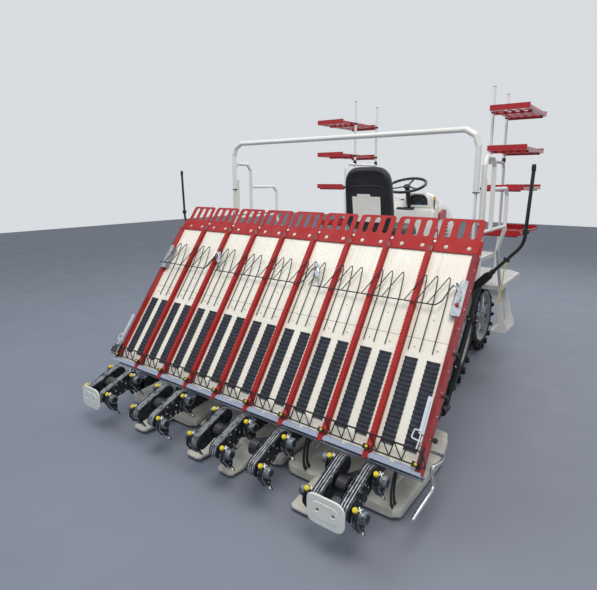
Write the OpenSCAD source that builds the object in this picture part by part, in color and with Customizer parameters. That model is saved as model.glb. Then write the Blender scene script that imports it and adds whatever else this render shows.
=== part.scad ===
// Riding rice transplanter for nine rows, seen from behind: X to the right, Y forward, Z up.
// Heights are above the floor. Y is measured from the lower edge of the seedling tray,
// and every sub-part is moved by -mid_y so that the origin is under the middle of the machine.

/* [Overall] */
// Front face of the front bumper, ahead of the tray's lower edge
front_y = 3050; // [3000:10:3200]
// Rear face of the guard plates, behind the tray's lower edge
rear_reach = 360; // [350:5:400]

/* [Seedling tray] */
// Distance from one planting row to the next
row_pitch = 250; // [245:1:256]
// Length of the white tray floor along its slope
tray_len = 1086; // [1040:2:1120]
// Slope of the tray to the floor, in degrees
tray_angle = 54.3; // [53:0.1:55]
// Height of the tray's lower edge
tray_low_z = 300; // [290:2:310]
// Thickness of the tray floor
tray_floor_t = 14; // [10:1:18]
// Width of the red strip between two lanes
divider_w = 28; // [20:1:34]
// Height of the red strip over the tray floor
divider_h = 26; // [20:1:32]
// Width of the plain red band across the top of the lanes
band_len = 78; // [60:1:90]
// Length of the slotted plate over the band
slot_plate_len = 126; // [110:1:140]
// Width of a feed belt
belt_w = 66; // [56:1:76]
// Length of a feed belt along the slope
belt_len = 440; // [400:5:480]
// Furthest that the tray slides to either side
tray_travel = 110; // [90:5:115]

/* [Planting unit] */
// Rotor shaft, behind the tray's lower edge
rotor_back = 207; // [203:1:212]
// Rotor shaft height
rotor_z = 263; // [258:1:270]
// Distance between the two arm pivots of a rotor
arm_span = 186; // [176:1:190]
// Tilt of the rotors at rest, in degrees, front end up
rotor_tilt = 20.7; // [15:0.1:26]
// Width of one rotor case
rotor_case_w = 52; // [44:1:54]
// Thickness of one planting arm
arm_w = 34; // [28:1:36]
// Radius of the through shaft of each chain case
rotor_shaft_r = 14; // [11:0.5:16]
// Width of one chain case
chain_case_w = 56; // [46:1:60]
// Height of the floats' underside
float_z = 14; // [12:1:20]
// Height of the cross beam's centre
beam_z = 225; // [220:1:235]

/* [Wheels] */
// Rear wheel over its lugs
rear_wheel_d = 950; // [930:5:960]
// Front wheel over its lugs
front_wheel_d = 650; // [630:5:660]
// Width of a wheel's lugs
lug_len = 90; // [80:2:94]
// Distance between the rear wheels' middles
rear_track = 1420; // [1400:5:1440]
// Distance between the front wheels' middles
front_track = 1220; // [1210:5:1240]
// Rear axle, ahead of the tray's lower edge
rear_axle_y = 1580; // [1570:5:1600]
// Distance between the axles
wheelbase = 1050; // [1040:5:1060]

/* [Chassis] */
// Top of the foot deck
deck_z = 735; // [730:1:745]
// Half width of the foot deck
deck_half_w = 905; // [880:5:920]
// Space from the rear wheels' lugs up to the top of the rear deck
deck_over_wheel = 55; // [50:1:65]
// Half width of the bonnet
bonnet_half_w = 250; // [235:1:265]
// Top of the bonnet
bonnet_z = 1400; // [1380:5:1420]
// Outer diameter of the rear hoop's tube
hoop_d = 34; // [30:1:38]
// Top of the rear hoop
hoop_z = 1862; // [1840:2:1880]
// Distance from the middle to the side rails
rail_x = 1004; // [990:2:1020]
// Outer diameter of the side rails' tube
rail_d = 27; // [24:1:30]
// Distance from the middle to the rack posts
post_x = 654; // [640:2:670]
// Top of the rack posts
post_z = 2320; // [2300:5:2350]
// Outer diameter of the rack posts
post_d = 26; // [22:1:30]
// Length of one seedling rack
rack_len = 650; // [600:5:660]
// Width of one seedling rack
rack_w = 296; // [280:2:300]

/* [Lift] */
// Half the distance between the lower links
lower_link_x = 200; // [190:1:210]
// Length of the lift arm from the lift shaft to the rod's eye
lift_arm = 130; // [124:1:136]
// Radius of the link pins
link_pin_r = 12; // [10:0.5:13]

/* [Hidden] */

rows = 9;
mid_y = (front_y - rear_reach) / 2;
run_fit = 0.05;      // running clearance of a pin in its bore, on the radius
seat_gap = 0.3;      // gap between a piece and the one it stands on
row_half = (rows - 1) / 2;
tray_half_w = rows * row_pitch / 2;

rotor_y = -rotor_back;
front_axle_y = rear_axle_y + wheelbase;
rear_r = rear_wheel_d / 2;
rear_deck_z = rear_wheel_d + deck_over_wheel;
front_r = front_wheel_d / 2;
rear_x = rear_track / 2;
front_x = front_track / 2;
kingpin_x = front_x - 110;

// Chain cases: [middle in row pitches from the centre, rotor on its left, rotor on its right]
chain_table = [[-3.5, 1, 1], [-1.5, 1, 1], [0.5, 1, 1], [1.5, 0, 1], [3.5, 1, 1]];
case_gap = 15;       // between a chain case and a rotor case
arm_gap = 6;         // between a rotor case and its arms
arm_pin_r = 11;
pivot_off = arm_span / 2;

// Floats: [middle, half width, rear tails from the middle]
float_table = [[0, 330, [-125, 125]], [-700, 330, [75]], [700, 330, [-75]]];

// Lift: pivots on the chassis and on the planting unit, as [y, z]
lift_pivot = [1130, 520];
top_pivot = [1130, 770];
link_vec = [-530, -100];
lift_tilt = 15;      // the lift arm leans back by this many degrees at rest
eye_rise = 5;        // the rod's eye is wide, and its middle is above the arm's pin at rest
lift_eye = lift_pivot + lift_arm * [-sin(lift_tilt), cos(lift_tilt)];
rod_eye = lift_eye + [0, eye_rise];
barrel_pin = [1600, rod_eye[1]];
top_link_x = 120;

$fn = 32;

// Moves a sub-part from the tray's edge to the part's own origin
module placed() translate([0, -mid_y, 0]) children();

module x_rod(x0, x1, y, z, r) translate([x0, y, z]) rotate([0, 90, 0]) cylinder(h = x1 - x0, r = r);
module y_rod(y0, y1, x, z, r) translate([x, y0, z]) rotate([-90, 0, 0]) cylinder(h = y1 - y0, r = r);
module z_rod(z0, z1, x, y, r) translate([x, y, z0]) cylinder(h = z1 - z0, r = r);

// A block between two corners
module block(low, high) translate(low) cube(high - low);

// An outline drawn as [y, z] and given its width along X
module across(x0, x1) translate([x0, 0, 0]) rotate([90, 0, 90]) linear_extrude(x1 - x0) children();

// A straight rod between two points
module rod(a, b, r) {
  d = b - a;
  len = norm(d);
  translate(a) rotate([0, acos(d[2] / len), atan2(d[1], d[0])]) cylinder(h = len, r = r);
}

// A bent tube through a list of points, with a slightly larger ball at each bend
module bent_tube(points, r) {
  for (i = [0:len(points) - 2]) rod(points[i], points[i + 1], r);
  for (i = [1:len(points) - 2]) translate(points[i]) sphere(r + 0.4);
}

// Both sides of the machine
module both_sides() {
  children();
  mirror([1, 0, 0]) children();
}

// Tray coordinates: X across, Y up the slope, Z out of the tray's face
module on_tray() translate([0, 0, tray_low_z]) rotate([tray_angle, 0, 0]) children();

// Outline of a bar with two round ends; waist is its width between them, as a share of the ends'
module slot_outline(a, b, r, waist = 0.86) {
  d = b - a;
  half = r * waist;
  translate(a) circle(r);
  translate(b) circle(r);
  translate(a) rotate(atan2(d[1], d[0])) translate([0, -half]) square([norm(d), 2 * half]);
}

// Chassis

module main_frame() color("dimgray") {
  both_sides() {
    block([150, 1150, 560], [200, 2930, 640]);
    // Brackets of the lift links
    across(232, 244) polygon([[1080, 480], [1190, 480], [1260, 560], [1260, 690], [1170, 820], [1090, 820]]);
    block([195, 1190, 590], [240, 1255, 630]);
    // Deck carriers
    block([195, 2140, 600], [620, 2200, 640]);
    block([195, 2800, deck_z - 65], [620, 2860, deck_z - 35]);
    block([560, 2140, 635], [620, 2200, deck_z - 35]);
    block([178, 2800, 635], [200, 2860, 675]);
    block([195, 1300, 600], [560, 1340, 640]);
    block([540, 1300, 635], [580, 1340, rear_deck_z - 30 - seat_gap]);
  }
  for (y = [1330, 2050, 2440, 2700, 2880]) block([-160, y, 570], [160, y + 50, y < 1400 ? 608 : 630]);
  // Lift shaft and top link pin
  x_rod(-262, 262, lift_pivot[0], lift_pivot[1], link_pin_r);
  x_rod(-262, 262, top_pivot[0], top_pivot[1], link_pin_r);
  // Ears of the lift cylinder
  both_sides() across(32, 42) polygon([[1560, 610], [1640, 610], [1620, barrel_pin[1] + 26],
    [1580, barrel_pin[1] + 26]]);
  x_rod(-50, 50, barrel_pin[0], barrel_pin[1], 10);
  block([-160, 1560, 600], [160, 1640, 618]);
}

module engine() color("slategray") {
  block([-175, 2440, 640 + seat_gap], [175, 2830, 1080]);
}

module front_axle() color("gray") {
  // Gearbox under the frame
  block([-120, 2400, 350], [120, 2780, 570 - seat_gap]);
  x_rod(-kingpin_x + 20, kingpin_x - 20, front_axle_y, 470, 42);
  both_sides() difference() {
    z_rod(413, 535, kingpin_x, front_axle_y, 52);
    z_rod(412, 500, kingpin_x, front_axle_y, 20 + run_fit);
  }
}

module rear_axle() color("gray") {
  block([-110, 1490, 385], [110, 1680, 600 - seat_gap]);
  x_rod(-590, 590, rear_axle_y, rear_r, 48);
  both_sides() {
    x_rod(585, rear_x - 62, rear_axle_y, rear_r, 62);
    x_rod(rear_x - 65, rear_x + 62, rear_axle_y, rear_r, 22);
  }
  // Drive shaft to the gearbox
  y_rod(1675, 2400 - seat_gap, 0, 470, 22);
}

// Foot deck: plate with a turned-down rim
module foot_deck() color("gainsboro") {
  outline = [[-deck_half_w + 10, 2075], [deck_half_w - 10, 2075], [deck_half_w, 2110],
    [deck_half_w - 20, 2780], [deck_half_w - 120, 2880], [-deck_half_w + 120, 2880],
    [-deck_half_w + 20, 2780], [-deck_half_w, 2110]];
  difference() {
    translate([0, 0, deck_z - 35]) linear_extrude(35) polygon(outline);
    // Clear of the engine and the bonnet
    block([-bonnet_half_w + 12, 2330, deck_z - 40], [bonnet_half_w - 12, 2930, deck_z + 5]);
  }
  block([-560, 1950, deck_z - 30], [560, 2080, deck_z]);
}

// Rear deck over the rear wheels, with its front wall down to the foot deck
module rear_deck() color("gainsboro") {
  difference() {
    translate([0, 0, rear_deck_z - 30]) linear_extrude(30)
      polygon([[-840, 1090], [840, 1090], [850, 1120], [850, 2020], [820, 2060], [-820, 2060], [-850, 2020],
        [-850, 1120]]);
    block([-330, 1080, rear_deck_z - 35], [330, 1180, rear_deck_z + 5]);
  }
  block([-560, 1990, deck_z + seat_gap], [560, 2015, rear_deck_z - 28]);
  both_sides() block([545, 1360, deck_z - 30], [560, 1950 - seat_gap, rear_deck_z - 28]);
}

step_top = deck_z - 35 - seat_gap;

// Boarding steps under the foot deck
module side_steps() color("whitesmoke") both_sides() {
  for (y = [2118, 2352])
    translate([0, y, 0]) rotate([90, 0, 0]) translate([0, 0, -4]) linear_extrude(8)
      polygon([[770, step_top], [850, step_top], [905, 560], [965, 410], [955, 350], [835, 350],
        [845, 400], [800, 560]]);
  block([838, 2116, 350], [953, 2354, 362]);
}

// Sloping top of the console: its lower and upper edge, as [y, z]
console_low = [2290, bonnet_z - 115];
console_high = [2420, bonnet_z - 20];
console_slope = atan2(console_high[1] - console_low[1], console_high[0] - console_low[0]);

// Bonnet hinges on the console's top edge
hinge_at = [console_high[0] - 7, bonnet_z - 4];
hinge_x = 170;
hinge_w = 50;
hinge_pin_r = 4;

// Console in front of the driver, and the fixed skirt round the engine
module cowl() color("white") {
  wall = 6;
  difference() {
    across(-bonnet_half_w, bonnet_half_w)
      polygon([[console_low[0], deck_z + seat_gap], [2940, deck_z + seat_gap], [2940, 850],
        [console_high[0], 850], console_high, console_low]);
    across(-bonnet_half_w + wall, bonnet_half_w - wall)
      polygon([[console_low[0] + wall, deck_z - 1], [2940 - wall, deck_z - 1], [2940 - wall, 856],
        [console_high[0] - wall, 856], [console_high[0] - wall, console_high[1] - 12],
        [console_low[0] + wall, console_low[1] - 4]]);
  }
  both_sides() {
    x_rod(hinge_x - hinge_w / 2 - 10, hinge_x + hinge_w / 2 + 10, hinge_at[0], hinge_at[1], hinge_pin_r);
    for (x = [hinge_x - hinge_w / 2 - 10, hinge_x + hinge_w / 2 + 2])
      block([x, hinge_at[0] - 6, console_high[1] - 16], [x + 8, hinge_at[0] + 6, hinge_at[1] + 6]);
  }
}

module dash_panel() color("darkslategray")
  translate([0, console_high[0], console_high[1]]) rotate([console_slope, 0, 0])
    translate([-125, -76, seat_gap]) cube([250, 66, 8]);

// Bonnet shell, open below and at its rear
module bonnet() color("white") {
  wall = 5;
  front = 2945;
  difference() {
    across(-bonnet_half_w, bonnet_half_w)
      polygon([[2424, 856], [front, 856], [front, 1200], [front - 40, bonnet_z - 70],
        [front - 140, bonnet_z - 15], [2560, bonnet_z], [2424, bonnet_z - 8]]);
    across(-bonnet_half_w + wall, bonnet_half_w - wall)
      polygon([[2420, 850], [front - wall, 850], [front - wall, 1200], [front - 44, bonnet_z - 74],
        [front - 142, bonnet_z - 20], [2560, bonnet_z - wall], [2420, bonnet_z - 13]]);
  }
  both_sides() difference() {
    union() {
      x_rod(hinge_x - hinge_w / 2, hinge_x + hinge_w / 2, hinge_at[0], hinge_at[1], 8);
      block([hinge_x - hinge_w / 2, hinge_at[0], hinge_at[1] - 5], [hinge_x + hinge_w / 2, 2450, bonnet_z + 1]);
    }
    x_rod(hinge_x - hinge_w, hinge_x + hinge_w, hinge_at[0], hinge_at[1], hinge_pin_r + run_fit);
  }
}

module headlamps() color("silver") both_sides()
  translate([150, 2945 + seat_gap, 1120]) rotate([-90, 0, 0]) cylinder(h = 22, r = 48);

module front_bumper() color("white") {
  tube_r = 17;
  y = front_y - tube_r;
  bent_tube([[-175, 2930, 600], [-175, y - 40, 600], [-175, y, 640], [-175, y, 800], [-120, y, 860],
    [120, y, 860], [175, y, 800], [175, y, 640], [175, y - 40, 600], [175, 2930, 600]], tube_r);
  // Plate with four bolt holes for front weights
  difference() {
    block([-140, y - 8, 640], [140, y + 8, 740]);
    for (x = [-100, 100], z = [665, 715]) y_rod(y - 10, y + 10, x, z, 6.5);
  }
  x_rod(-175, 175, y, 690, 10);
}

// Front face of the seat back, which leans back
module on_seat_back() translate([0, 1648, rear_deck_z + 150]) rotate([8, 0, 0]) children();

module seat_base() color("black") {
  block([-170, 1700, rear_deck_z + seat_gap], [170, 2040, rear_deck_z + 90]);
  // Bracket of the seat back
  block([-60, 1650, rear_deck_z + 40], [60, 1701, rear_deck_z + 90]);
  difference() {
    block([-60, 1620, rear_deck_z + 60], [60, 1662, rear_deck_z + 190]);
    on_seat_back() translate([-100, seat_gap - 100, -150]) cube([200, 100, 400]);
  }
}

module seat_cushion() color("black")
  translate([0, 1888, rear_deck_z + 90 + seat_gap]) linear_extrude(115)
    offset(50) square([340, 330], center = true);

module seat_back() color("black") on_seat_back() rotate([90, 0, 0])
  linear_extrude(85) offset(80) translate([-140, 80]) square([280, 370]);

wheel_tilt = 21;     // the steering wheel leans to the driver by this many degrees
wheel_hub = [0, 2262, 1494];

// Column from the console's slope up to the steering wheel
module steering_column() color("black") difference() {
  translate(wheel_hub) rotate([wheel_tilt, 0, 0]) translate([0, 0, -230]) cylinder(h = 230 - seat_gap, r = 20);
  translate([0, console_high[0], console_high[1]]) rotate([console_slope, 0, 0])
    translate([-100, -300, -200 + seat_gap]) cube([200, 400, 200]);
}

module steering_wheel() color("black")
  translate(wheel_hub) rotate([wheel_tilt, 0, 0]) {
    rotate_extrude() translate([168, 22]) circle(12);
    cylinder(h = 26, r = 32);
    for (a = [90, 210, 330]) rotate([0, 90, a]) translate([-16, 0, 20]) cylinder(h = 146, r = 7);
  }

// Rails and racks

module rear_hoop() color("white") {
  r = hoop_d / 2;
  x = rail_x - 33;
  y = 1056;
  low = rear_deck_z - 70;
  // Hoop with upright legs, which end above the deck on two thin rods each
  bent_tube([[-x, y, 1480], [-x, y, hoop_z - 112], [-x + 22, y, hoop_z - 52], [-x + 80, y, hoop_z - r],
    [x - 80, y, hoop_z - r], [x - 22, y, hoop_z - 52], [x, y, hoop_z - 112], [x, y, 1480]], r);
  for (side = [-1, 1], dy = [-10, 10]) z_rod(low, 1490, side * x, y + dy, 6);
  x_rod(-x - 14, x + 14, y, low, r);
  both_sides() block([700, y, low - 12], [740, 1120, rear_deck_z - 30 - seat_gap]);
}

module side_rail() {
  r = rail_d / 2;
  x = rail_x;
  // Tall loop, low loop with its front leg to the foot deck, and the cross bar
  bent_tube([[x, 1085, rear_deck_z - 60], [x, 1085, 1640], [x, 1120, 1690], [x, 1245, 1690], [x, 1285, 1640],
    [x, 1285, 1245]], r);
  bent_tube([[x, 1285, 1502], [x, 1590, 1502], [x, 1632, 1460], [x, 1632, 1220],
    [x - 46, 1672, 1080], [deck_half_w - 15, 2095, deck_z + 10.5]], r - 1);
  y_rod(1085, 1632, x, 1250, r - 3);
  // Stay to the rear deck, and the plate with two holes
  stay_z = rear_deck_z - 15;
  bent_tube([[x, 1086, stay_z + 10], [x - 60, 1150, stay_z], [854, 1180, stay_z]], 8);
  block([850 + seat_gap, 1155, stay_z - 23], [857, 1205, stay_z + 23]);
  difference() {
    block([x - 4, 1085, 1290], [x + 4, 1140, 1560]);
    for (z = [1360, 1470]) x_rod(x - 10, x + 10, 1120, z, 7);
  }
}

module side_rail_right() color("white") side_rail();
module side_rail_left() color("white") mirror([1, 0, 0]) side_rail();

post_y = [2446, 2886];

// Hoops on the deck, with the rack posts on them
leg_y = [2270, 2900];

module rack_posts() color("white") both_sides() {
  r = post_d / 2;
  foot_z = deck_z + seat_gap;
  bent_tube([[post_x, leg_y[0], foot_z], [post_x, leg_y[0], 1670], [post_x, 2310, 1715], [post_x, 2860, 1715],
    [post_x, leg_y[1], 1670], [post_x, leg_y[1], 1000], [post_x, 2850, 900], [post_x, 2850, foot_z]], r);
  for (y = post_y) z_rod(1690, post_z, post_x, y, r - 1);
}

rack_z = [1120, 1480, 1790, 2100];
rack_y = 2250;

// One seedling rack: a floor with openings, side rims and raised ends
module rack() difference() {
  union() {
    block([0, rack_y, 0], [rack_w, rack_y + rack_len, 5]);
    for (x = [0, rack_w - 8]) block([x, rack_y, 0], [x + 8, rack_y + rack_len, 26]);
    for (y = [rack_y, rack_y + rack_len - 8]) block([0, y, 0], [rack_w, y + 8, 42]);
  }
  for (i = [0:3], j = [0:5])
    block([28 + i * 62, rack_y + 30 + j * 101, -1], [62 + i * 62, rack_y + 108 + j * 101, 6]);
}

// Racks above one another, each with two carriers that reach to the posts or the hoop's legs
module rack_column() difference() {
  for (z = rack_z) {
    translate([post_x + post_d / 2 + 12, 0, z]) rack();
    for (y = z > 1700 ? post_y : [leg_y[0], leg_y[1] - 8])
      block([post_x - 2, y - 8, z - 12], [post_x + rack_w, y + 8, z]);
  }
  r = post_d / 2 + seat_gap;
  for (y = post_y) z_rod(1700, post_z + 10, post_x, y, r - 1);
  for (y = leg_y) z_rod(1010, 1672, post_x, y, r);
}

module racks_right() color("firebrick") rack_column();
module racks_left() color("firebrick") mirror([1, 0, 0]) rack_column();

// Wheels

module knuckle(side) {
  x = kingpin_x;
  mirror([side < 0 ? 1 : 0, 0, 0]) {
    z_rod(front_r - 66, 408, x, front_axle_y, 48);
    z_rod(405, 498, x, front_axle_y, 20);
    x_rod(x, front_x - 50, front_axle_y, front_r, 40);
    x_rod(x, front_x + 50, front_axle_y, front_r, 18);
    // Steering arm
    block([x - 20, front_axle_y - 130, 380], [x + 10, front_axle_y, 396]);
  }
}

module knuckle_right() color("gray") knuckle(1);
module knuckle_left() color("gray") knuckle(-1);

// Lug wheel parts, drawn around X at the wheel's middle
module wheel_rim(rim_r, rim_w, hub_r, bore_r, spokes) rotate([0, 90, 0]) {
  difference() {
    cylinder(h = rim_w, r = rim_r, center = true);
    cylinder(h = rim_w + 2, r = rim_r - 9, center = true);
  }
  difference() {
    union() {
      cylinder(h = 84, r = hub_r, center = true);
      for (i = [0:spokes - 1]) rotate(i * 360 / spokes) translate([0, -17, -5]) cube([rim_r - 4, 34, 10]);
    }
    cylinder(h = 90, r = bore_r + run_fit, center = true);
  }
}

module wheel_tyre(rim_r, body_r, body_w, tip_r, lugs) rotate([0, 90, 0]) {
  difference() {
    union() {
      cylinder(h = body_w, r = body_r, center = true);
      for (i = [0:lugs - 1]) rotate(i * 360 / lugs)
        translate([0, 0, -lug_len / 2]) linear_extrude(lug_len)
          polygon([[body_r - 22, -17], [tip_r - 10, -11], [tip_r, -5], [tip_r, 5], [tip_r - 10, 11],
            [body_r - 22, 17]]);
    }
    cylinder(h = lug_len + 2, r = rim_r, center = true);
  }
}

front_rim_r = front_r - 95;
rear_rim_r = rear_r - 105;
front_at = [front_x, front_axle_y, front_r];
rear_at = [rear_x, rear_axle_y, rear_r];

module front_rim() translate(front_at) wheel_rim(front_rim_r, 52, 52, 18, 5);
module front_tyre() translate(front_at) wheel_tyre(front_rim_r, front_r - 45, 58, front_r, 18);
module rear_rim() translate(rear_at) wheel_rim(rear_rim_r, 52, 66, 22, 6);
module rear_tyre() translate(rear_at) wheel_tyre(rear_rim_r, rear_r - 48, 58, rear_r, 26);

module front_rim_right() color("silver") front_rim();
module front_rim_left() color("silver") mirror([1, 0, 0]) front_rim();
module front_tyre_right() color("black") front_tyre();
module front_tyre_left() color("black") mirror([1, 0, 0]) front_tyre();
module rear_rim_right() color("silver") rear_rim();
module rear_rim_left() color("silver") mirror([1, 0, 0]) rear_rim();
module rear_tyre_right() color("black") rear_tyre();
module rear_tyre_left() color("black") mirror([1, 0, 0]) rear_tyre();

// Lift links

link_end = lift_pivot + link_vec;
top_end = top_pivot + link_vec;

module lower_links() color("dimgray") difference() {
  union() {
    for (s = [-1, 1]) {
      across(s * lower_link_x - 8, s * lower_link_x + 8) slot_outline(lift_pivot, link_end, 26);
      x_rod(s * lower_link_x - 14, s * lower_link_x + 14, link_end[0], link_end[1], 28);
    }
    x_rod(-lower_link_x - 22, lower_link_x + 22, lift_pivot[0], lift_pivot[1], 29);
    // Twin lift arm with the pin for the rod's eye
    both_sides() across(20, 30) slot_outline(lift_pivot, lift_eye, 20);
    x_rod(-30, 30, lift_eye[0], lift_eye[1], 8);
  }
  x_rod(-300, 300, lift_pivot[0], lift_pivot[1], link_pin_r + run_fit);
  for (s = [-1, 1])
    x_rod(s * lower_link_x - 20, s * lower_link_x + 20, link_end[0], link_end[1], link_pin_r + run_fit);
}

module upper_link() color("dimgray") difference() {
  union() {
    for (s = [-1, 1]) across(s * top_link_x - 6, s * top_link_x + 6) slot_outline(top_pivot, top_end, 24);
    x_rod(-top_link_x, top_link_x, (top_pivot[0] + top_end[0]) / 2, (top_pivot[1] + top_end[1]) / 2, 13);
  }
  x_rod(-200, 200, top_pivot[0], top_pivot[1], link_pin_r + run_fit);
  x_rod(-200, 200, top_end[0], top_end[1], link_pin_r + 2);
}

module lift_barrel() color("dimgray") difference() {
  union() {
    y_rod(1300, 1575, 0, barrel_pin[1], 27);
    x_rod(-24, 24, barrel_pin[0], barrel_pin[1], 26);
  }
  x_rod(-60, 60, barrel_pin[0], barrel_pin[1], 10 + run_fit);
  y_rod(1290, 1560, 0, barrel_pin[1], 13 + run_fit);
}

module lift_rod() color("silver") difference() {
  union() {
    y_rod(rod_eye[0] + 25, 1400, 0, rod_eye[1], 13);
    x_rod(-13, 13, rod_eye[0], rod_eye[1], 32);
  }
  x_rod(-60, 60, rod_eye[0], rod_eye[1], 20);
}

// Planting unit

beam_y = 330;
beam_half = 4.12 * row_pitch;
upper_rail_r = 16;
upper_rail_s = 780;  // up the tray's slope
upper_rail_n = tray_floor_t + upper_rail_r + seat_gap;
upper_rail = [upper_rail_s * cos(tray_angle) + upper_rail_n * sin(tray_angle),
  tray_low_z + upper_rail_s * sin(tray_angle) - upper_rail_n * cos(tray_angle)];
marker_pivot = [1010, 620, 330];

module planter_frame() color("dimgray") {
  block([-beam_half, beam_y - 30, beam_z - 30], [beam_half, beam_y + 30, beam_z + 30]);
  x_rod(-950, 950, upper_rail[0], upper_rail[1], upper_rail_r);
  both_sides() {
    // Hitch plates with the pins of the links
    across(218, 228) polygon([[beam_y - 20, beam_z], [beam_y + 20, beam_z - 20],
      [link_end[0] + 40, link_end[1] - 40], [top_end[0] + 40, top_end[1] + 10],
      [top_end[0], top_end[1] + 36], [top_end[0] - 34, top_end[1] + 20], [link_end[0] - 60, link_end[1]]]);
    x_rod(180, 223, link_end[0], link_end[1], link_pin_r);
    x_rod(100, 223, top_end[0], top_end[1], link_pin_r);
    // Carriers of the upper rail
    rod([560, beam_y, beam_z], [560, upper_rail[0], upper_rail[1]], 13);
    rod([223, top_end[0], top_end[1]], [223, upper_rail[0], upper_rail[1]], 12);
    // Marker pivot
    rod([marker_pivot[0] - 15, beam_y, beam_z],
      [marker_pivot[0] - 5, marker_pivot[1] - 50, marker_pivot[2]], 15);
    y_rod(marker_pivot[1] - 56, marker_pivot[1] - 36, marker_pivot[0], marker_pivot[2], 26);
    y_rod(marker_pivot[1] - 40, marker_pivot[1] + 45, marker_pivot[0], marker_pivot[2], 12);
  }
}

// Chain case from the cross beam, under the tray's edge and up to the rotor shaft
chain_low = [-10, 192];
chain_high = [beam_y - 70, beam_z - 8];
chain_r = 34;

// Top of the chain case under the tray's edge
function chain_top(y) = chain_low[1] + chain_r + 0.2
  + (y - chain_low[0]) * (chain_high[1] - chain_low[1]) / (chain_high[0] - chain_low[0]);

module chain_case() {
  r = 42;
  difference() {
    union() {
      across(-chain_case_w / 2, chain_case_w / 2) {
        slot_outline(chain_high, chain_low, chain_r);
        slot_outline(chain_low, [rotor_y, rotor_z], chain_r - 1);
        translate([rotor_y, rotor_z]) circle(r);
      }
      block([-chain_case_w / 2 - 6, beam_y - 90, beam_z - 46],
        [chain_case_w / 2 + 6, beam_y - 30 - seat_gap, beam_z + 28]);
    }
    x_rod(-60, 60, rotor_y, rotor_z, rotor_shaft_r + run_fit);
  }
}

module chain_cases() color("black")
  for (c = chain_table) translate([c[0] * row_pitch, 0, 0]) chain_case();

// One float: a flat hull with an upturned nose, and rear tails between the rows
module float_body(half_w, tails) {
  across(-half_w, half_w)
    polygon([[20, float_z], [560, float_z], [690, float_z + 45], [740, float_z + 110], [700, float_z + 120],
      [600, float_z + 78], [120, float_z + 62], [20, float_z + 50]]);
  // Hanger to the cross beam
  block([-18, beam_y - 18, float_z + 60], [18, beam_y + 18, beam_z - 30 - seat_gap]);
  for (t = tails) translate([t, 0, 0]) {
    across(-62, 62) polygon([[-200, float_z + 4], [-160, float_z], [60, float_z], [60, float_z + 50],
      [-90, float_z + 42], [-110, float_z + 22], [-195, float_z + 20]]);
  }
}

module floats() color("ivory") for (f = float_table) translate([f[0], 0, 0]) float_body(f[1], f[2]);

// Fixed rail that the tray's lower edge slides in, with a notch for each row
module bottom_rail() color("silver") {
  half = tray_half_w + 15;
  lip = divider_h + 5;
  on_tray() difference() {
    union() {
      block([-half, -6, -34], [half, -seat_gap, lip + 3]);
      block([-half, -6, lip], [half, 22, lip + 3]);
    }
    for (x = lane_x) block([x - 26, -10, 2], [x + 26, 30, lip + 10]);
  }
  on_tray() x_rod(-half, half, -16, -20, 7);
  on_tray() for (i = [-rows / 2:rows / 2]) block([i * row_pitch - 6, -16, -24], [i * row_pitch + 6, -4, -16]);
  // Feet on the chain cases
  for (c = chain_table) translate([c[0] * row_pitch, 0, 0]) 
    block([-20, 4, chain_top(22) + seat_gap], [20, 22, 281]);
}

guard_z = 222;       // middle of the guard plates

module guard_plates() color("ivory") for (s = [-1, 1]) translate([s * 3.5 * row_pitch, 0, 0]) {
  difference() {
    translate([0, -rear_reach + 12, guard_z]) rotate([90, 0, 0]) linear_extrude(12)
      offset(30) square([118, 66], center = true);
    for (x = [-38, 38]) y_rod(-rear_reach - 2, -rear_reach + 14, x, guard_z, 7);
  }
  // Bracket forward to the chain case
  block([-16, -rear_reach + 11, guard_z - 50], [16, rotor_y + 8, guard_z - 42]);
  block([-16, rotor_y - 8, guard_z - 50], [16, rotor_y + 8, rotor_z - 42 - seat_gap]);
}

module end_guards() color("silver") both_sides()
  bent_tube([[beam_half + seat_gap, beam_y, beam_z], [1120, beam_y, beam_z], [1146, 200, beam_z + 40],
    [1146, 76, tray_low_z + 2], [1146, 124, 206], [1146, 106, 178], [1152, -128, 174]], 8);

// Tray

lane_x = [for (i = [-row_half:row_half]) i * row_pitch];

module tray_floor() color("ivory") on_tray() {
  half = tray_half_w - 14 - seat_gap;
  block([-half, 0, -tray_floor_t], [half, tray_len + band_len, -seat_gap]);
}

// Red strips between the lanes, the end walls and the band across the top
module tray_dividers() color("firebrick") on_tray() {
  for (i = [1:rows - 1]) {
    x = -tray_half_w + i * row_pitch;
    block([x - divider_w / 2, 0, 0], [x + divider_w / 2, tray_len, divider_h]);
  }
  both_sides() block([tray_half_w - 14, 0, -34], [tray_half_w + 8, tray_len, divider_h + 4]);
  block([-tray_half_w - 16, tray_len, 0], [tray_half_w + 16, tray_len + band_len, 6]);
}

plate_shift = 14;    // the plates sit slightly to the right of their lanes

// Slotted plates on the band, one to each lane
module tray_top() color("firebrick") on_tray() for (x = lane_x) {
  gap = 11;
  full = band_len + slot_plate_len;
  low = x - row_pitch / 2 + gap + plate_shift;
  high = x + row_pitch / 2 - gap + plate_shift;
  translate([0, tray_len, 6 + seat_gap]) linear_extrude(4) difference() {
    union() {
      translate([low + 12, 12]) offset(12) square([high - low - 24, full - 24]);
      translate([low, 0]) square([high - low, 30]);
    }
    for (i = [-1:1])
      translate([x + i * 66 + plate_shift, 0]) slot_outline([0, band_len + 26], [0, full - 32], 14, 1);
  }
}

module feed_belts() color("black") on_tray() for (x = lane_x, s = [-1, 1])
  block([x + s * 56 - belt_w / 2, 62, 0], [x + s * 56 + belt_w / 2, 62 + belt_len, 7]);

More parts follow.
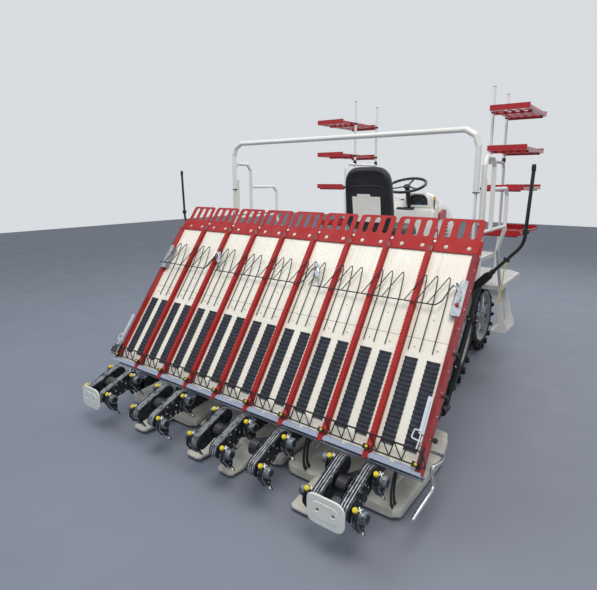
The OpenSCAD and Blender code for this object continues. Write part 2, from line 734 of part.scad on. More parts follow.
// Wire frames that hold the seedling mats down: a long bar and narrow loops up the slope
module upper_wires() color("black") on_tray() {
  r = 3;
  z = divider_h + 10;
  $fn = 6;
  for (g = [-1:1]) {
    ends = [g * 3 * row_pitch - 1.5 * row_pitch + 7, g * 3 * row_pitch + 1.5 * row_pitch - 7];
    rod([ends[0], 770, z], [ends[1], 770, z], r);
    for (l = [-1:1], k = [-1:1]) {
      x = (g * 3 + l) * row_pitch + k * 62;
      rod([x - 26, 770, z], [x, 930, z - 16], r);
      rod([x, 930, z - 16], [x + 6, 800, z - 16], r);
    }
    for (x = ends) {
      seat = divider_h + (abs(x) > tray_half_w - 20 ? 4 : 0) + seat_gap;
      block([x - 4, 762, seat], [x + 4, 800, z]);
    }
  }
}

// Wire frame along the lower edge, with its teeth over the belts
module lower_wires() color("black") on_tray() {
  r = 3;
  $fn = 6;
  z = 42;
  low = 46;
  for (y = [low, low + 34]) rod([-tray_half_w - 60, y, z], [tray_half_w + 30, y, z], r + 1);
  for (x = lane_x, k = [-1:1]) {
    rod([x + k * 62 - 26, low + 34, z], [x + k * 62, low + 110, z - 22], r);
    rod([x + k * 62, low + 110, z - 22], [x + k * 62 + 26, low + 34, z], r);
  }
  both_sides() block([tray_half_w - 6, low - 8, divider_h + 4.3], [tray_half_w + 6, low + 42, z - 3]);
}

// Rotors

// Side of the row's rotor case: 1 when the chain case is to the right of the row
function case_side(row) = row == -4 || row == -2 || row == 0 || row == 3 ? 1 : -1;

case_x = row_pitch / 2 - chain_case_w / 2 - case_gap - rotor_case_w / 2;
arm_x = case_x - rotor_case_w / 2 - arm_gap - arm_w / 2;
arm_front = [rotor_y + pivot_off * cos(rotor_tilt), rotor_z + pivot_off * sin(rotor_tilt)];
arm_rear = [rotor_y - pivot_off * cos(rotor_tilt), rotor_z - pivot_off * sin(rotor_tilt)];

// Rotor cases, pinned in pairs to the shaft through their chain case
module rotor_cases() color("darkgray") difference() {
  union() {
    for (row = [-row_half:row_half]) {
      s = case_side(row);
      x = row * row_pitch + s * case_x;
      across(x - rotor_case_w / 2, x + rotor_case_w / 2) {
        slot_outline(arm_rear, arm_front, 42);
        translate([rotor_y, rotor_z]) circle(50);
      }
    }
    for (c = chain_table) {
      half = chain_case_w / 2 + case_gap + 6;
      x = c[0] * row_pitch;
      x_rod(x - (c[1] ? half : chain_case_w / 2 + 8), x + half, rotor_y, rotor_z, rotor_shaft_r);
    }
  }
  for (row = [-row_half:row_half]) {
    x = row * row_pitch;
    for (p = [arm_front, arm_rear])
      x_rod(x - row_pitch / 2 + 20, x + row_pitch / 2 - 20, p[0], p[1], arm_pin_r + run_fit);
  }
}

// One planting arm with its fork, hung on its pin
module planting_arm(p, row) {
  s = case_side(row);
  x = row * row_pitch + s * arm_x;
  across(x - arm_w / 2, x + arm_w / 2) {
    translate(p) circle(26);
    translate(p) polygon([[-22, 14], [-30, -30], [10, -84], [34, -78], [26, 0]]);
  }
  across(x - 7, x + 7) translate(p) polygon([[12, -70], [34, -74], [58, -128], [52, -130]]);
  pin_end = x + s * (arm_w / 2 + arm_gap + 40);
  x_rod(min(x, pin_end), max(x, pin_end), p[0], p[1], arm_pin_r);
}

module arms_front() color("gray") for (row = [-row_half:row_half]) planting_arm(arm_front, row);
module arms_rear() color("gray") for (row = [-row_half:row_half]) planting_arm(arm_rear, row);

// Line markers, folded up beside the tray

module marker() {
  p = marker_pivot;
  difference() {
    union() {
      rod(p, [1100, 800, 1010], 15);
      bent_tube([[1100, 800, 1010], [1300, 800, 1230], [1320, 800, 1600]], 9);
      translate([1100, 800, 1010]) sphere(17);
      y_rod(590, 650, p[0], p[2], 24);
      // Blunt tip
      z_rod(1598, 1634, 1320, 800, 10.5);
    }
    y_rod(580, 660, p[0], p[2], 12 + run_fit);
  }
}

module marker_right() color("black") marker();
module marker_left() color("black") mirror([1, 0, 0]) marker();

placed() main_frame();
placed() engine();
placed() front_axle();
placed() rear_axle();
placed() foot_deck();
placed() rear_deck();
placed() side_steps();
placed() cowl();
placed() dash_panel();
placed() bonnet();
placed() headlamps();
placed() front_bumper();
placed() seat_base();
placed() seat_cushion();
placed() seat_back();
placed() steering_column();
placed() steering_wheel();
placed() rear_hoop();
placed() side_rail_left();
placed() side_rail_right();
placed() rack_posts();
placed() racks_left();
placed() racks_right();
placed() knuckle_left();
placed() knuckle_right();
placed() front_rim_left();
placed() front_rim_right();
placed() front_tyre_left();
placed() front_tyre_right();
placed() rear_rim_left();
placed() rear_rim_right();
placed() rear_tyre_left();
placed() rear_tyre_right();
placed() lower_links();
placed() upper_link();
placed() lift_barrel();
placed() lift_rod();
placed() planter_frame();
placed() chain_cases();
placed() floats();
placed() bottom_rail();
placed() guard_plates();
placed() end_guards();
placed() tray_floor();
placed() tray_dividers();
placed() tray_top();
placed() feed_belts();
placed() upper_wires();
placed() lower_wires();
placed() rotor_cases();
placed() arms_front();
placed() arms_rear();
placed() marker_left();
placed() marker_right();
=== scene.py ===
import math
import bmesh
import bpy
import numpy as np
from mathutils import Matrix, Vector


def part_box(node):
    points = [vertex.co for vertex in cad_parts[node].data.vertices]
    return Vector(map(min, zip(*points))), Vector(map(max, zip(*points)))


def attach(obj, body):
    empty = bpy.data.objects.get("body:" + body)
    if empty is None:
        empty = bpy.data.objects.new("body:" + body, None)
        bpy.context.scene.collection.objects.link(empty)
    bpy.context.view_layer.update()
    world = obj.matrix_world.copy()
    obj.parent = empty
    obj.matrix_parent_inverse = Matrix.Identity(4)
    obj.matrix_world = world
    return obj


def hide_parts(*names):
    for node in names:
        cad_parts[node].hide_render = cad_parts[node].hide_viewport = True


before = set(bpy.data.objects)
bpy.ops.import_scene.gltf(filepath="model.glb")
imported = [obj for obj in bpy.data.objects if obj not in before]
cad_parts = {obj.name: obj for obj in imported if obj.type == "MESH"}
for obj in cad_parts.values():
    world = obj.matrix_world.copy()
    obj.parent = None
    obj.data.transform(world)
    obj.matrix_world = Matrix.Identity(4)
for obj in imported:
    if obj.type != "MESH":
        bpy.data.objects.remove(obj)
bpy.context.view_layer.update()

# Sizes in metres. X is the machine's right, Y forward, Z up.
row = dict(count=9, pitch=0.25)
tray = dict(length=1.086, slope=math.radians(54.3), lowZ=0.3, halfWidth=1.125, dividerWidth=0.028,
    dividerHeight=0.026, bandLength=0.078, plateLength=0.126)
tray["edgeY"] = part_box("tray_floor")[0][1]
laneCentres = [(i - (row["count"] - 1) / 2) * row["pitch"] for i in range(row["count"])]
laneEdges = [(i - row["count"] / 2) * row["pitch"] for i in range(row["count"] + 1)]


def ahead(y):
    # A place given ahead of the tray's lower edge, in the frame's own Y
    return tray["edgeY"] + y


# Colours

def linearColour(code):
    # sRGB hex to linear light
    values = [int(code[i:i + 2], 16) / 255 for i in (1, 3, 5)]
    return [v / 12.92 if v <= 0.04045 else ((v + 0.055) / 1.055) ** 2.4 for v in values] + [1.0]


# Material building blocks

def addNode(tree, kind, settings=None, links=None):
    # settings are the node's own properties or input values, links are input to socket; a hex code is a colour
    node = tree.nodes.new(kind)
    for key, value in (settings or {}).items():
        if isinstance(key, str) and hasattr(node, key):
            setattr(node, key, value)
        else:
            node.inputs[key].default_value = linearColour(value) if isinstance(value, str) else value
    for key, socket in (links or {}).items():
        tree.links.new(socket, node.inputs[key])
    return node


def startMaterial(name, colour, roughness, metallic=0.0, **sockets):
    # A new material with its constants on the shader's own sockets; returns it with the coordinates its patterns read
    material = bpy.data.materials.new(name)
    material.use_nodes = True
    tree = material.node_tree
    shader = tree.nodes["Principled BSDF"]
    shader.inputs["Base Color"].default_value = linearColour(colour)
    shader.inputs["Roughness"].default_value = roughness
    shader.inputs["Metallic"].default_value = metallic
    for key, value in sockets.items():
        shader.inputs[key].default_value = value
    coords = addNode(tree, "ShaderNodeTexCoord").outputs["Object"]
    return material, coords


def patches(coords, size, low=0.0, high=1.0, start=0.3, stop=0.7, detail=4.0, stretch=(1, 1, 1)):
    # Irregular patches about size metres across: low where the noise is under start, high where it is over stop
    tree = coords.id_data
    stretched = addNode(tree, "ShaderNodeMapping", {"Scale": stretch}, {"Vector": coords}).outputs[0]
    noise = addNode(tree, "ShaderNodeTexNoise", {"Scale": 1 / size, "Detail": detail}, {"Vector": stretched})
    return addNode(tree, "ShaderNodeMapRange", {"From Min": start, "From Max": stop, "To Min": low, "To Max": high},
        {"Value": noise.outputs["Fac"]}).outputs[0]


def edgeChips(coords, amount):
    # Small chips, only on convex edges: how convex the edge is, times patches 10 mm across
    tree = coords.id_data
    convex = addNode(tree, "ShaderNodeNewGeometry").outputs["Pointiness"]
    onEdge = addNode(tree, "ShaderNodeMapRange", {"From Min": 0.54, "From Max": 0.66, "To Max": amount},
        {"Value": convex}).outputs[0]
    spots = patches(coords, 0.01, 0, 1, 0.5, 0.62)
    return addNode(tree, "ShaderNodeMath", {"operation": "MULTIPLY"}, {0: onEdge, 1: spots}).outputs[0]


def dress(material, colour, layers, roughness, relief, strength, distance):
    # Lays colours (share, colour) over the first one, then the roughness pattern and the relief, on the shader
    tree = material.node_tree
    shader = tree.nodes["Principled BSDF"]
    for share, code in layers:
        settings, links = {"data_type": "RGBA", 7: code}, {0: share}
        (settings if isinstance(colour, str) else links)[6] = colour
        colour = addNode(tree, "ShaderNodeMix", settings, links).outputs[2]
    if layers:
        tree.links.new(colour, shader.inputs["Base Color"])
    tree.links.new(roughness, shader.inputs["Roughness"])
    bump = addNode(tree, "ShaderNodeBump", {"Strength": strength, "Distance": distance}, {"Height": relief})
    tree.links.new(bump.outputs[0], shader.inputs["Normal"])
    return material


# Materials, named for what each is made of

def paintedSteel(name, colour, worn, roughness=0.34, coat=0.25, dust=0.15, dustColour="#8d8a84", chips=0.35):
    # Gloss paint with orange peel 4 mm across, dust in broad patches, and thin wear along the edges
    material, coords = startMaterial(name, colour, roughness, **{"Coat Weight": coat, "Specular IOR Level": 0.4})
    return dress(material, colour, [(patches(coords, 0.12, 0, dust, 0.45, 0.8), dustColour),
        (edgeChips(coords, chips), worn)], patches(coords, 0.05, roughness - 0.07, roughness + 0.1, detail=5),
        patches(coords, 0.004, detail=2), 0.12, 0.0006)


def mouldedPlastic(name, colour, second, roughness, grain=0.0025, depth=0.0003, coat=0.0):
    # Moulded plastic with a slight mottle and a fine spark-eroded grain, drawn coarse enough to show
    material, coords = startMaterial(name, colour, roughness, **{"Coat Weight": coat})
    return dress(material, colour, [(patches(coords, 0.07, 0, 1, 0.3, 0.75, 5), second)],
        patches(coords, 0.03, roughness - 0.05, roughness + 0.1), patches(coords, grain, detail=3), 0.25, depth)


def castMetal(name, colour, dark, roughness=0.45, metallic=0.6, bright="#dfe2e4"):
    # Sand-cast alloy: coarse 2 mm grain, dark blotches 25 mm across, and bright convex edges, partly rubbed wear and
    # partly painted highlight
    material, coords = startMaterial(name, colour, roughness, metallic)
    return dress(material, colour, [(patches(coords, 0.025, 0, 0.9, 0.46, 0.66, 6), dark),
        (edgeChips(coords, 0.8), bright)], patches(coords, 0.008, roughness - 0.12, roughness + 0.15),
        patches(coords, 0.0022), 0.35, 0.0008)


def brightMetal(name, colour, roughness, streak=(1, 1, 1)):
    # Plated or drawn metal with drawing marks 3 mm apart
    material, coords = startMaterial(name, colour, roughness, 1.0)
    marks = patches(coords, 0.003, roughness * 0.7, roughness * 1.6, stretch=streak)
    return dress(material, colour, [], marks, marks, 0.06, 0.0003)


def zincSpangle(name):
    # Hot-dip galvanised sheet: 12 mm crystals of slightly different greys
    material, coords = startMaterial(name, "#9ba3a6", 0.42, 0.7)
    cells = addNode(material.node_tree, "ShaderNodeTexVoronoi", {"Scale": 1 / 0.012},
        {"Vector": coords}).outputs["Color"]
    rough = addNode(material.node_tree, "ShaderNodeMapRange", {"To Min": 0.34, "To Max": 0.5},
        {"Value": cells}).outputs[0]
    return dress(material, "#8b9399", [(cells, "#b4babd")], rough, patches(coords, 0.004), 0.05, 0.0003)


def matRubber(name, colour, second, grain=0.003, depth=0.0006, roughness=0.72):
    # Rubber with pale scuffs 20 mm across and a fine pitted surface
    material, coords = startMaterial(name, colour, roughness)
    return dress(material, colour, [(patches(coords, 0.02, 0, 0.7, 0.5, 0.75, 6), second)],
        patches(coords, 0.05, roughness - 0.12, roughness + 0.1), patches(coords, grain), 0.4, depth)


def seatVinyl(name):
    # Black vinyl cover: leather-like grain in 3 mm cells, softly shiny
    material, coords = startMaterial(name, "#17181a", 0.46, **{"Sheen Weight": 0.1})
    grain = addNode(material.node_tree, "ShaderNodeTexVoronoi", {"feature": "DISTANCE_TO_EDGE", "Scale": 1 / 0.0032},
        {"Vector": coords}).outputs["Distance"]
    return dress(material, "#2a2b2c", [(patches(coords, 0.05), "#343637")],
        patches(coords, 0.02, 0.38, 0.56), grain, 0.5, 0.0012)


def trayPlastic(name):
    # Cream sheet moulded in one: dust in long streaks down the slope and faint grey scuffs
    material, coords = startMaterial(name, "#f5f1e3", 0.34, **{"Coat Weight": 0.2})
    turn = addNode(material.node_tree, "ShaderNodeMapping", {"Rotation": (-tray["slope"], 0, 0)},
        {"Vector": coords}).outputs[0]
    streaks = patches(turn, 0.02, 0, 0.4, 0.5, 0.8, 5, (1, 0.06, 1))
    return dress(material, "#f7f4e8", [(patches(coords, 0.2, detail=3), "#efeadb"), (streaks, "#cfccc1")],
        patches(turn, 0.02, 0.28, 0.45, detail=5, stretch=(1, 0.06, 1)),
        patches(turn, 0.006, detail=3, stretch=(1, 0.2, 1)), 0.2, 0.0006)


def lampGlass(name, colour):
    # Clear moulded lens with upright prism lines every 8 mm: the distance to the nearest line, turned to a step
    material, coords = startMaterial(name, colour, 0.08, **{"Transmission Weight": 0.6, "IOR": 1.49})
    across = addNode(material.node_tree, "ShaderNodeSeparateXYZ", None, {0: coords}).outputs[0]
    nearest = addNode(material.node_tree, "ShaderNodeMath",
        {"operation": "PINGPONG", 1: 0.004}, {0: across}).outputs[0]
    lines = addNode(material.node_tree, "ShaderNodeMapRange", {"From Min": 0.003, "From Max": 0.0012},
        {"Value": nearest}).outputs[0]
    return dress(material, colour, [], patches(coords, 0.02, 0.06, 0.12), lines, 0.5, 0.001)


def castFloor(name):
    # Grey sealed studio floor with a slow, faint change of tone
    material, coords = startMaterial(name, "#828895", 0.62)
    return dress(material, "#828895", [(patches(coords, 0.9, 0, 0.5), "#7b818e")], patches(coords, 0.3, 0.58, 0.7),
        patches(coords, 0.01), 0.05, 0.0005)


redPaint = paintedSteel("redPaint", "#a80f0c", "#b8605a", 0.52, 0.0, 0.04, chips=0.15)
darkRedPaint = paintedSteel("darkRedPaint", "#7a0c15", "#a86a66", 0.34, 0.2, 0.1, chips=0.1)
orangeRedPaint = paintedSteel("orangeRedPaint", "#c01a12", "#d8a79a", 0.3, 0.3, 0.05, chips=0.08)
paleSheet = paintedSteel("paleSheet", "#dde3ea", "#a3a9ae", 0.34, 0.2, 0.1, "#b5bcc2", 0.05)
railPaint = paintedSteel("railPaint", "#aab3c9", "#d3d8df", 0.34, 0.2, 0.35, "#737b8b", 0.1)
whitePaint = paintedSteel("whitePaint", "#ecece8", "#a5a5a0", 0.3, 0.4, 0.18, "#bdbab1", 0.2)
deckPaint = paintedSteel("deckPaint", "#dcddd9", "#a9a9a4", 0.45, 0.15, 0.4, "#aaa69e", 0.25)
blackPaint = paintedSteel("blackPaint", "#131417", "#5c5d60", 0.4, 0.2, 0.2, "#3a3a3a", 0.3)
framePaint = paintedSteel("framePaint", "#242629", "#6a6b6e", 0.45, 0.15, 0.3, "#4f4d4a", 0.3)
rimPaint = paintedSteel("rimPaint", "#c9cac6", "#8f8f8a", 0.38, 0.3, 0.4, "#8f897d", 0.3)
whiteShell = mouldedPlastic("whiteShell", "#f0f0ec", "#e6e6e0", 0.22, 0.004, 0.0002, 0.5)
floatPlastic = mouldedPlastic("floatPlastic", "#d8d6cb", "#c0bdb0", 0.5)
platePlastic = mouldedPlastic("platePlastic", "#f3f6f1", "#e6eae1", 0.35, 0.002, 0.0002, 0.2)
blackPlastic = mouldedPlastic("blackPlastic", "#191a20", "#23242b", 0.4)
dashPlastic = mouldedPlastic("dashPlastic", "#23272d", "#2f353d", 0.5)
dialBlue = mouldedPlastic("dialBlue", "#28405f", "#1d2f49", 0.3)
yellowPlastic = mouldedPlastic("yellowPlastic", "#ecd90f", "#d8bf0c", 0.4)
yellowRod = mouldedPlastic("yellowRod", "#c9c23a", "#b5ad2b", 0.4)
orangePlastic = mouldedPlastic("orangePlastic", "#d8541a", "#c14510", 0.3)
redPlastic = mouldedPlastic("redPlastic", "#b5101a", "#9c0c15", 0.28, 0.003, 0.0002, 0.3)
# Darker than the alloy's own tone, with near-black blotches: partly painted shade under the tray
castAlloy = castMetal("castAlloy", "#363b43", "#0f1115")
armAlloy = castMetal("armAlloy", "#7d848e", "#22262c")
# Lighter copy of the cast alloy, white on its edges, for the raised ribs of the rotor cases: painted highlight
ribHighlightAlloy = castMetal("ribHighlightAlloy", "#b3b7bc", "#4a5058", 0.36, 0.5, "#ffffff")
darkCasting = castMetal("darkCasting", "#2a2d32", "#131518", 0.5, 0.45, "#8d9298")
drawnAluminium = brightMetal("drawnAluminium", "#a9b0bb", 0.32, (0.05, 1, 1))
chromePlate = brightMetal("chromePlate", "#dcdedf", 0.1)
zincBolt = brightMetal("zincBolt", "#b3b0a6", 0.3)
galvanisedSheet = zincSpangle("galvanisedSheet")
beltRubber = matRubber("beltRubber", "#1e232e", "#363d4b")
lugRubber = matRubber("lugRubber", "#141518", "#2b2b29", 0.004)
blackWire = matRubber("blackWire", "#0f1013", "#232326", 0.002, 0.0002, 0.42)
seatCover = seatVinyl("seatCover")
creamSheet = trayPlastic("creamSheet")
clearLens = lampGlass("clearLens", "#e8ecee")
floorCoat = castFloor("floorCoat")
print("stage: materials")


# Shapes. A part is (points, list of face arrays, material index).

def partFrom(points, faces, slot=0):
    return np.asarray(points, float).reshape(-1, 3), [np.asarray(f, int) for f in faces], slot


def gridPart(points, closedU=False, closedV=False, caps=False, slot=0):
    # A surface through a grid of points [u, v, xyz]; caps close both ends of u with one face each
    nu, nv = points.shape[:2]
    u = np.arange(nu if closedU else nu - 1)
    v = np.arange(nv if closedV else nv - 1)
    a, b = np.meshgrid(u, v, indexing="ij")
    c, d = (a + 1) % nu, (b + 1) % nv
    faces = [np.stack([a * nv + b, c * nv + b, c * nv + d, a * nv + d], -1).reshape(-1, 4)]
    if caps:
        faces += [np.arange(nv)[::-1].reshape(1, -1), (np.arange(nv) + (nu - 1) * nv).reshape(1, -1)]
    return partFrom(points, faces, slot)


def moved(part, offset=(0, 0, 0), matrix=None):
    points = part[0] if matrix is None else part[0] @ np.asarray(matrix).T
    return points + np.asarray(offset, float), part[1], part[2]


def scaled(part, factors):
    return part[0] * factors, part[1], part[2]


def mirrored(parts):
    # The same parts on the machine's other side
    return [scaled(part, (-1, 1, 1)) for part in parts]


# A flat plate turned to stand across the machine, and along it
standing = np.array([[1, 0, 0], [0, 0, -1], [0, 1, 0]])
alongside = np.array([[0, 0, 1], [1, 0, 0], [0, 1, 0]])


def turnX(angle):
    c, s = math.cos(angle), math.sin(angle)
    return np.array([[1, 0, 0], [0, c, -s], [0, s, c]])


def turnZ(angle):
    c, s = math.cos(angle), math.sin(angle)
    return np.array([[c, -s, 0], [s, c, 0], [0, 0, 1]])


def onTray(parts):
    # Tray coordinates [across, up the slope, out of the face] to the frame's
    return [moved(part, (0, tray["edgeY"], tray["lowZ"]), turnX(tray["slope"])) for part in parts]


def ring(radius, sides):
    angles = np.arange(sides) * 2 * math.pi / sides
    return np.stack([radius * np.cos(angles), radius * np.sin(angles)], -1)


def flatBar(half, rise):
    # Section of a flat bar, for sweep
    return np.array([(-half, -rise), (half, -rise), (half, rise), (-half, rise)])


def rounded(points, radius, steps=5):
    # A path with each inner corner replaced by a curve: P = (1-u)^2 A + 2u(1-u) B + u^2 C
    points = np.asarray(points, float)
    radii = np.broadcast_to(radius, len(points))
    path = [points[0]]
    u = np.linspace(0, 1, steps)[:, None]
    for i in range(1, len(points) - 1):
        before, corner, after = points[i - 1], points[i], points[i + 1]
        cutA = min(radii[i], np.linalg.norm(corner - before) * 0.49)
        cutC = min(radii[i], np.linalg.norm(after - corner) * 0.49)
        a = corner + (before - corner) / np.linalg.norm(before - corner) * cutA
        c = corner + (after - corner) / np.linalg.norm(after - corner) * cutC
        path.extend((1 - u) ** 2 * a + 2 * u * (1 - u) * corner + u ** 2 * c)
    path.append(points[-1])
    return np.array(path)


def sweep(path, profile, up=(0, 0, 1), closed=False, slot=0, scales=None):
    # A profile [side, up] carried along a path; the frame turns with the path and never twists more than it must
    path = np.asarray(path, float)
    step = np.roll(path, -1, 0) - np.roll(path, 1, 0) if closed else np.gradient(path, axis=0)
    tangent = step / np.linalg.norm(step, axis=1, keepdims=True)
    side = np.cross(tangent[0], up)
    if np.linalg.norm(side) < 1e-6:
        side = np.cross(tangent[0], (0, 1, 0.01))
    rows = []
    scales = np.ones(len(path)) if scales is None else scales
    for point, along, size in zip(path, tangent, scales):
        side = side - along * np.dot(side, along)
        side /= np.linalg.norm(side)
        rows.append(point + size * (profile[:, :1] * side + profile[:, 1:] * np.cross(side, along)))
    return gridPart(np.array(rows), closed, True, not closed, slot)


def tube(path, radius, sides=10, bend=0.0, slot=0):
    if bend:
        path = rounded(path, bend)
    return sweep(path, ring(radius, sides), slot=slot)


def lathe(profile, sides=24, axis="x", origin=(0, 0, 0), slot=0, closed=False):
    # A profile [along the axis, radius] turned about the axis
    profile = np.asarray(profile, float)
    angles = np.arange(sides) * 2 * math.pi / sides
    along = np.broadcast_to(profile[:, None, 0], (len(profile), sides))
    first = profile[:, None, 1] * np.cos(angles)
    second = profile[:, None, 1] * np.sin(angles)
    order = {"x": (along, first, second), "y": (second, along, first), "z": (first, second, along)}[axis]
    return moved(gridPart(np.stack(order, -1), closed, True, not closed, slot), origin)


def block(low, high, slot=0):
    # A box between any two opposite corners
    x, y, z = [sorted(ends) for ends in zip(low, high)]
    points = [(x[i], y[j], z[k]) for i in (0, 1) for j in (0, 1) for k in (0, 1)]
    faces = [(0, 1, 3, 2), (4, 6, 7, 5), (0, 4, 5, 1), (2, 3, 7, 6), (0, 2, 6, 4), (1, 5, 7, 3)]
    return partFrom(points, [faces], slot)


def prism(outline, low, high, axis="x", slot=0):
    # A flat outline given a thickness along an axis; the outline is in the other two, in order
    outline = np.asarray(outline, float)
    rows = []
    for value in sorted((low, high)):
        level = np.full(len(outline), float(value))
        order = {"x": (level, outline[:, 0], outline[:, 1]), "y": (outline[:, 0], level, outline[:, 1]),
            "z": (outline[:, 0], outline[:, 1], level)}[axis]
        rows.append(np.stack(order, -1))
    return gridPart(np.array(rows), False, True, True, slot)


def roundedOutline(points, radius, steps=5):
    # A closed outline with round corners
    points = np.asarray(points, float)
    closed = np.vstack([(points[0] + points[-1]) / 2, points, (points[0] + points[-1]) / 2])
    radii = [0, *np.broadcast_to(radius, len(points)), 0]
    return rounded(np.hstack([closed, np.zeros((len(closed), 1))]), radii, steps)[:-1, :2]


def roundedBox(low, high, radius, steps=5):
    return roundedOutline([low, (high[0], low[1]), high, (low[0], high[1])], radius, steps)


def barOutline(a, b, radius, steps=9):
    # A bar with two round ends
    a, b = np.asarray(a, float), np.asarray(b, float)
    heading = math.atan2(*(b - a)[::-1])
    turn = np.linspace(math.pi / 2, 3 * math.pi / 2, steps)
    start = a + radius * np.stack([np.cos(turn + heading), np.sin(turn + heading)], -1)
    end = b - radius * np.stack([np.cos(turn + heading), np.sin(turn + heading)], -1)
    return np.vstack([start, end])


def cutPlate(outline, holes, thickness, bevel=0.0, slot=0):
    # A flat plate with holes and eased edges, in the plane Z = 0, centred on its thickness
    curve = bpy.data.curves.new("cut", "CURVE")
    curve.dimensions = "2D"
    curve.fill_mode = "BOTH"
    curve.extrude = thickness / 2 - bevel
    curve.bevel_depth = bevel
    curve.bevel_resolution = 1
    for loop in [outline] + list(holes):
        spline = curve.splines.new("POLY")
        spline.points.add(len(loop) - 1)
        flat = np.zeros((len(loop), 4))
        flat[:, :2] = loop
        flat[:, 3] = 1
        spline.points.foreach_set("co", flat.ravel())
        spline.use_cyclic_u = True
    holder = bpy.data.objects.new("cut", curve)
    mesh = bpy.data.meshes.new_from_object(holder)
    points = np.zeros(len(mesh.vertices) * 3)
    mesh.vertices.foreach_get("co", points)
    faces = [np.array([list(p.vertices)]) for p in mesh.polygons]
    sizes = sorted({f.shape[1] for f in faces})
    faces = [np.vstack([f for f in faces if f.shape[1] == n]) for n in sizes]
    bpy.data.objects.remove(holder)
    bpy.data.curves.remove(curve)
    bpy.data.meshes.remove(mesh)
    return partFrom(points, faces, slot)


def hexBolt(at, axis, across=0.013, height=0.006, washer=True, slot=0):
    # Hexagon head with a washer, standing on a face at the point, pointing along the axis
    head = [(0.0015, across * 0.577), (height - 0.001, across * 0.577), (height, across * 0.48)]
    parts = [lathe(head, 6, "z", slot=slot)]
    if washer:
        parts.append(lathe([(0, across * 0.9), (0.0015, across * 0.9)], 14, "z", slot=slot))
    axis = np.asarray(axis, float) / np.linalg.norm(axis)
    side = np.cross(axis, (1, 0, 0) if abs(axis[0]) < 0.9 else (0, 1, 0))
    side /= np.linalg.norm(side)
    turn = np.stack([side, np.cross(axis, side), axis], -1)
    return [moved(part, at, turn) for part in parts]


def makePiece(name, parts, materials, body, replaced=(), smooth=True):
    points, loops, sizes, slots, count = [], [], [], [], 0
    for partPoints, faces, slot in parts:
        points.append(partPoints)
        for array in faces:
            loops.append((array + count).ravel())
            sizes.append(np.full(len(array), array.shape[1]))
            slots.append(np.full(len(array), slot))
        count += len(partPoints)
    points, loops, sizes, slots = [np.concatenate(x) for x in (points, loops, sizes, slots)]
    mesh = bpy.data.meshes.new(name)
    mesh.vertices.add(len(points))
    mesh.vertices.foreach_set("co", points.ravel())
    mesh.loops.add(len(loops))
    mesh.loops.foreach_set("vertex_index", loops)
    mesh.polygons.add(len(sizes))
    mesh.polygons.foreach_set("loop_start", np.concatenate([[0], np.cumsum(sizes)[:-1]]))
    mesh.polygons.foreach_set("loop_total", sizes)
    mesh.polygons.foreach_set("material_index", slots)
    mesh.update(calc_edges=True)
    mesh.validate()
    work = bmesh.new()
    work.from_mesh(mesh)
    bmesh.ops.recalc_face_normals(work, faces=work.faces)
    work.to_mesh(mesh)
    work.free()
    for material in materials:
        mesh.materials.append(material)
    piece = bpy.data.objects.new(name, mesh)
    bpy.context.scene.collection.objects.link(piece)
    if smooth:
        shadeByAngle(piece)
    if replaced:
        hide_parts(*replaced)
    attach(piece, body)
    return piece


def applyModifiers(piece):
    bpy.context.view_layer.update()
    evaluated = piece.evaluated_get(bpy.context.evaluated_depsgraph_get())
    mesh = bpy.data.meshes.new_from_object(evaluated)
    piece.modifiers.clear()
    old = piece.data
    piece.data = mesh
    bpy.data.meshes.remove(old)


def shadeByAngle(piece):
    # Smooth shading, with edges sharper than this angle kept
    limit = math.radians(35)
    mesh = piece.data
    mesh.shade_smooth()
    work = bmesh.new()
    work.from_mesh(mesh)
    for edge in work.edges:
        edge.smooth = len(edge.link_faces) == 2 and edge.calc_face_angle(0) < limit
    work.to_mesh(mesh)
    work.free()


def paintNode(name, material):
    # A CAD node keeps its shape and takes a finish
    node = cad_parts[name]
    node.data.materials.clear()
    node.data.materials.append(material)


print("stage: shapes ready")


# Tray: ribbed cream floor on a steel back

floorSettings = dict(ribPitch=0.0125, ribDepth=0.0022, bottom=-0.0139, top=-0.0004, seamAt=0.6, screwAt=0.707)


def makeTrayFloor():
    # Section across the lanes: n = top - depth * (0.5 + 0.5 cos(2 pi s / pitch))^3, carried straight up the slope
    f = floorSettings
    half = tray["halfWidth"] - 0.0144
    across = np.arange(-half, half, f["ribPitch"] / 6)
    level = f["top"] - f["ribDepth"] * (0.5 + 0.5 * np.cos(2 * np.pi * across / f["ribPitch"])) ** 3
    under = f["top"] - 0.005
    parts = []
    end = tray["length"] + tray["bandLength"]
    for low, high in ((0.0, f["seamAt"] - 0.0012), (f["seamAt"] + 0.0012, end)):
        outline = np.vstack([np.stack([across, level], -1), [(half, level[-1]), (half, under), (-half, under)]])
        parts.append(prism(outline, low, high, "y"))
    # Steel ribs on the back, and a rim round it
    for x in laneEdges[1:-1]:
        parts.append(block((x - 0.02, 0.01, f["bottom"]), (x + 0.02, end - 0.01, under - 0.0002), 1))
    for t in (0.006, 0.3, 0.62, 0.95, end - 0.03):
        parts.append(block((-half + 0.002, t, f["bottom"]), (half - 0.002, t + 0.024, under - 0.0001), 1))
    for x in laneCentres:
        head = lathe([(0, 0.0055), (0.0012, 0.005), (0.0014, 0.0022), (0.0005, 0.0019)], 14, "z", slot=2)
        parts.append(moved(head, (x, f["screwAt"], f["top"] - 0.0003)))
        for shift in (-0.058, 0.058):
            parts.append(moved(head, (x + shift, f["seamAt"] - 0.045, f["top"] - 0.0003)))
    makePiece("trayFloor", onTray(parts), [creamSheet, galvanisedSheet, zincBolt], "tray",
        ["tray_floor"])


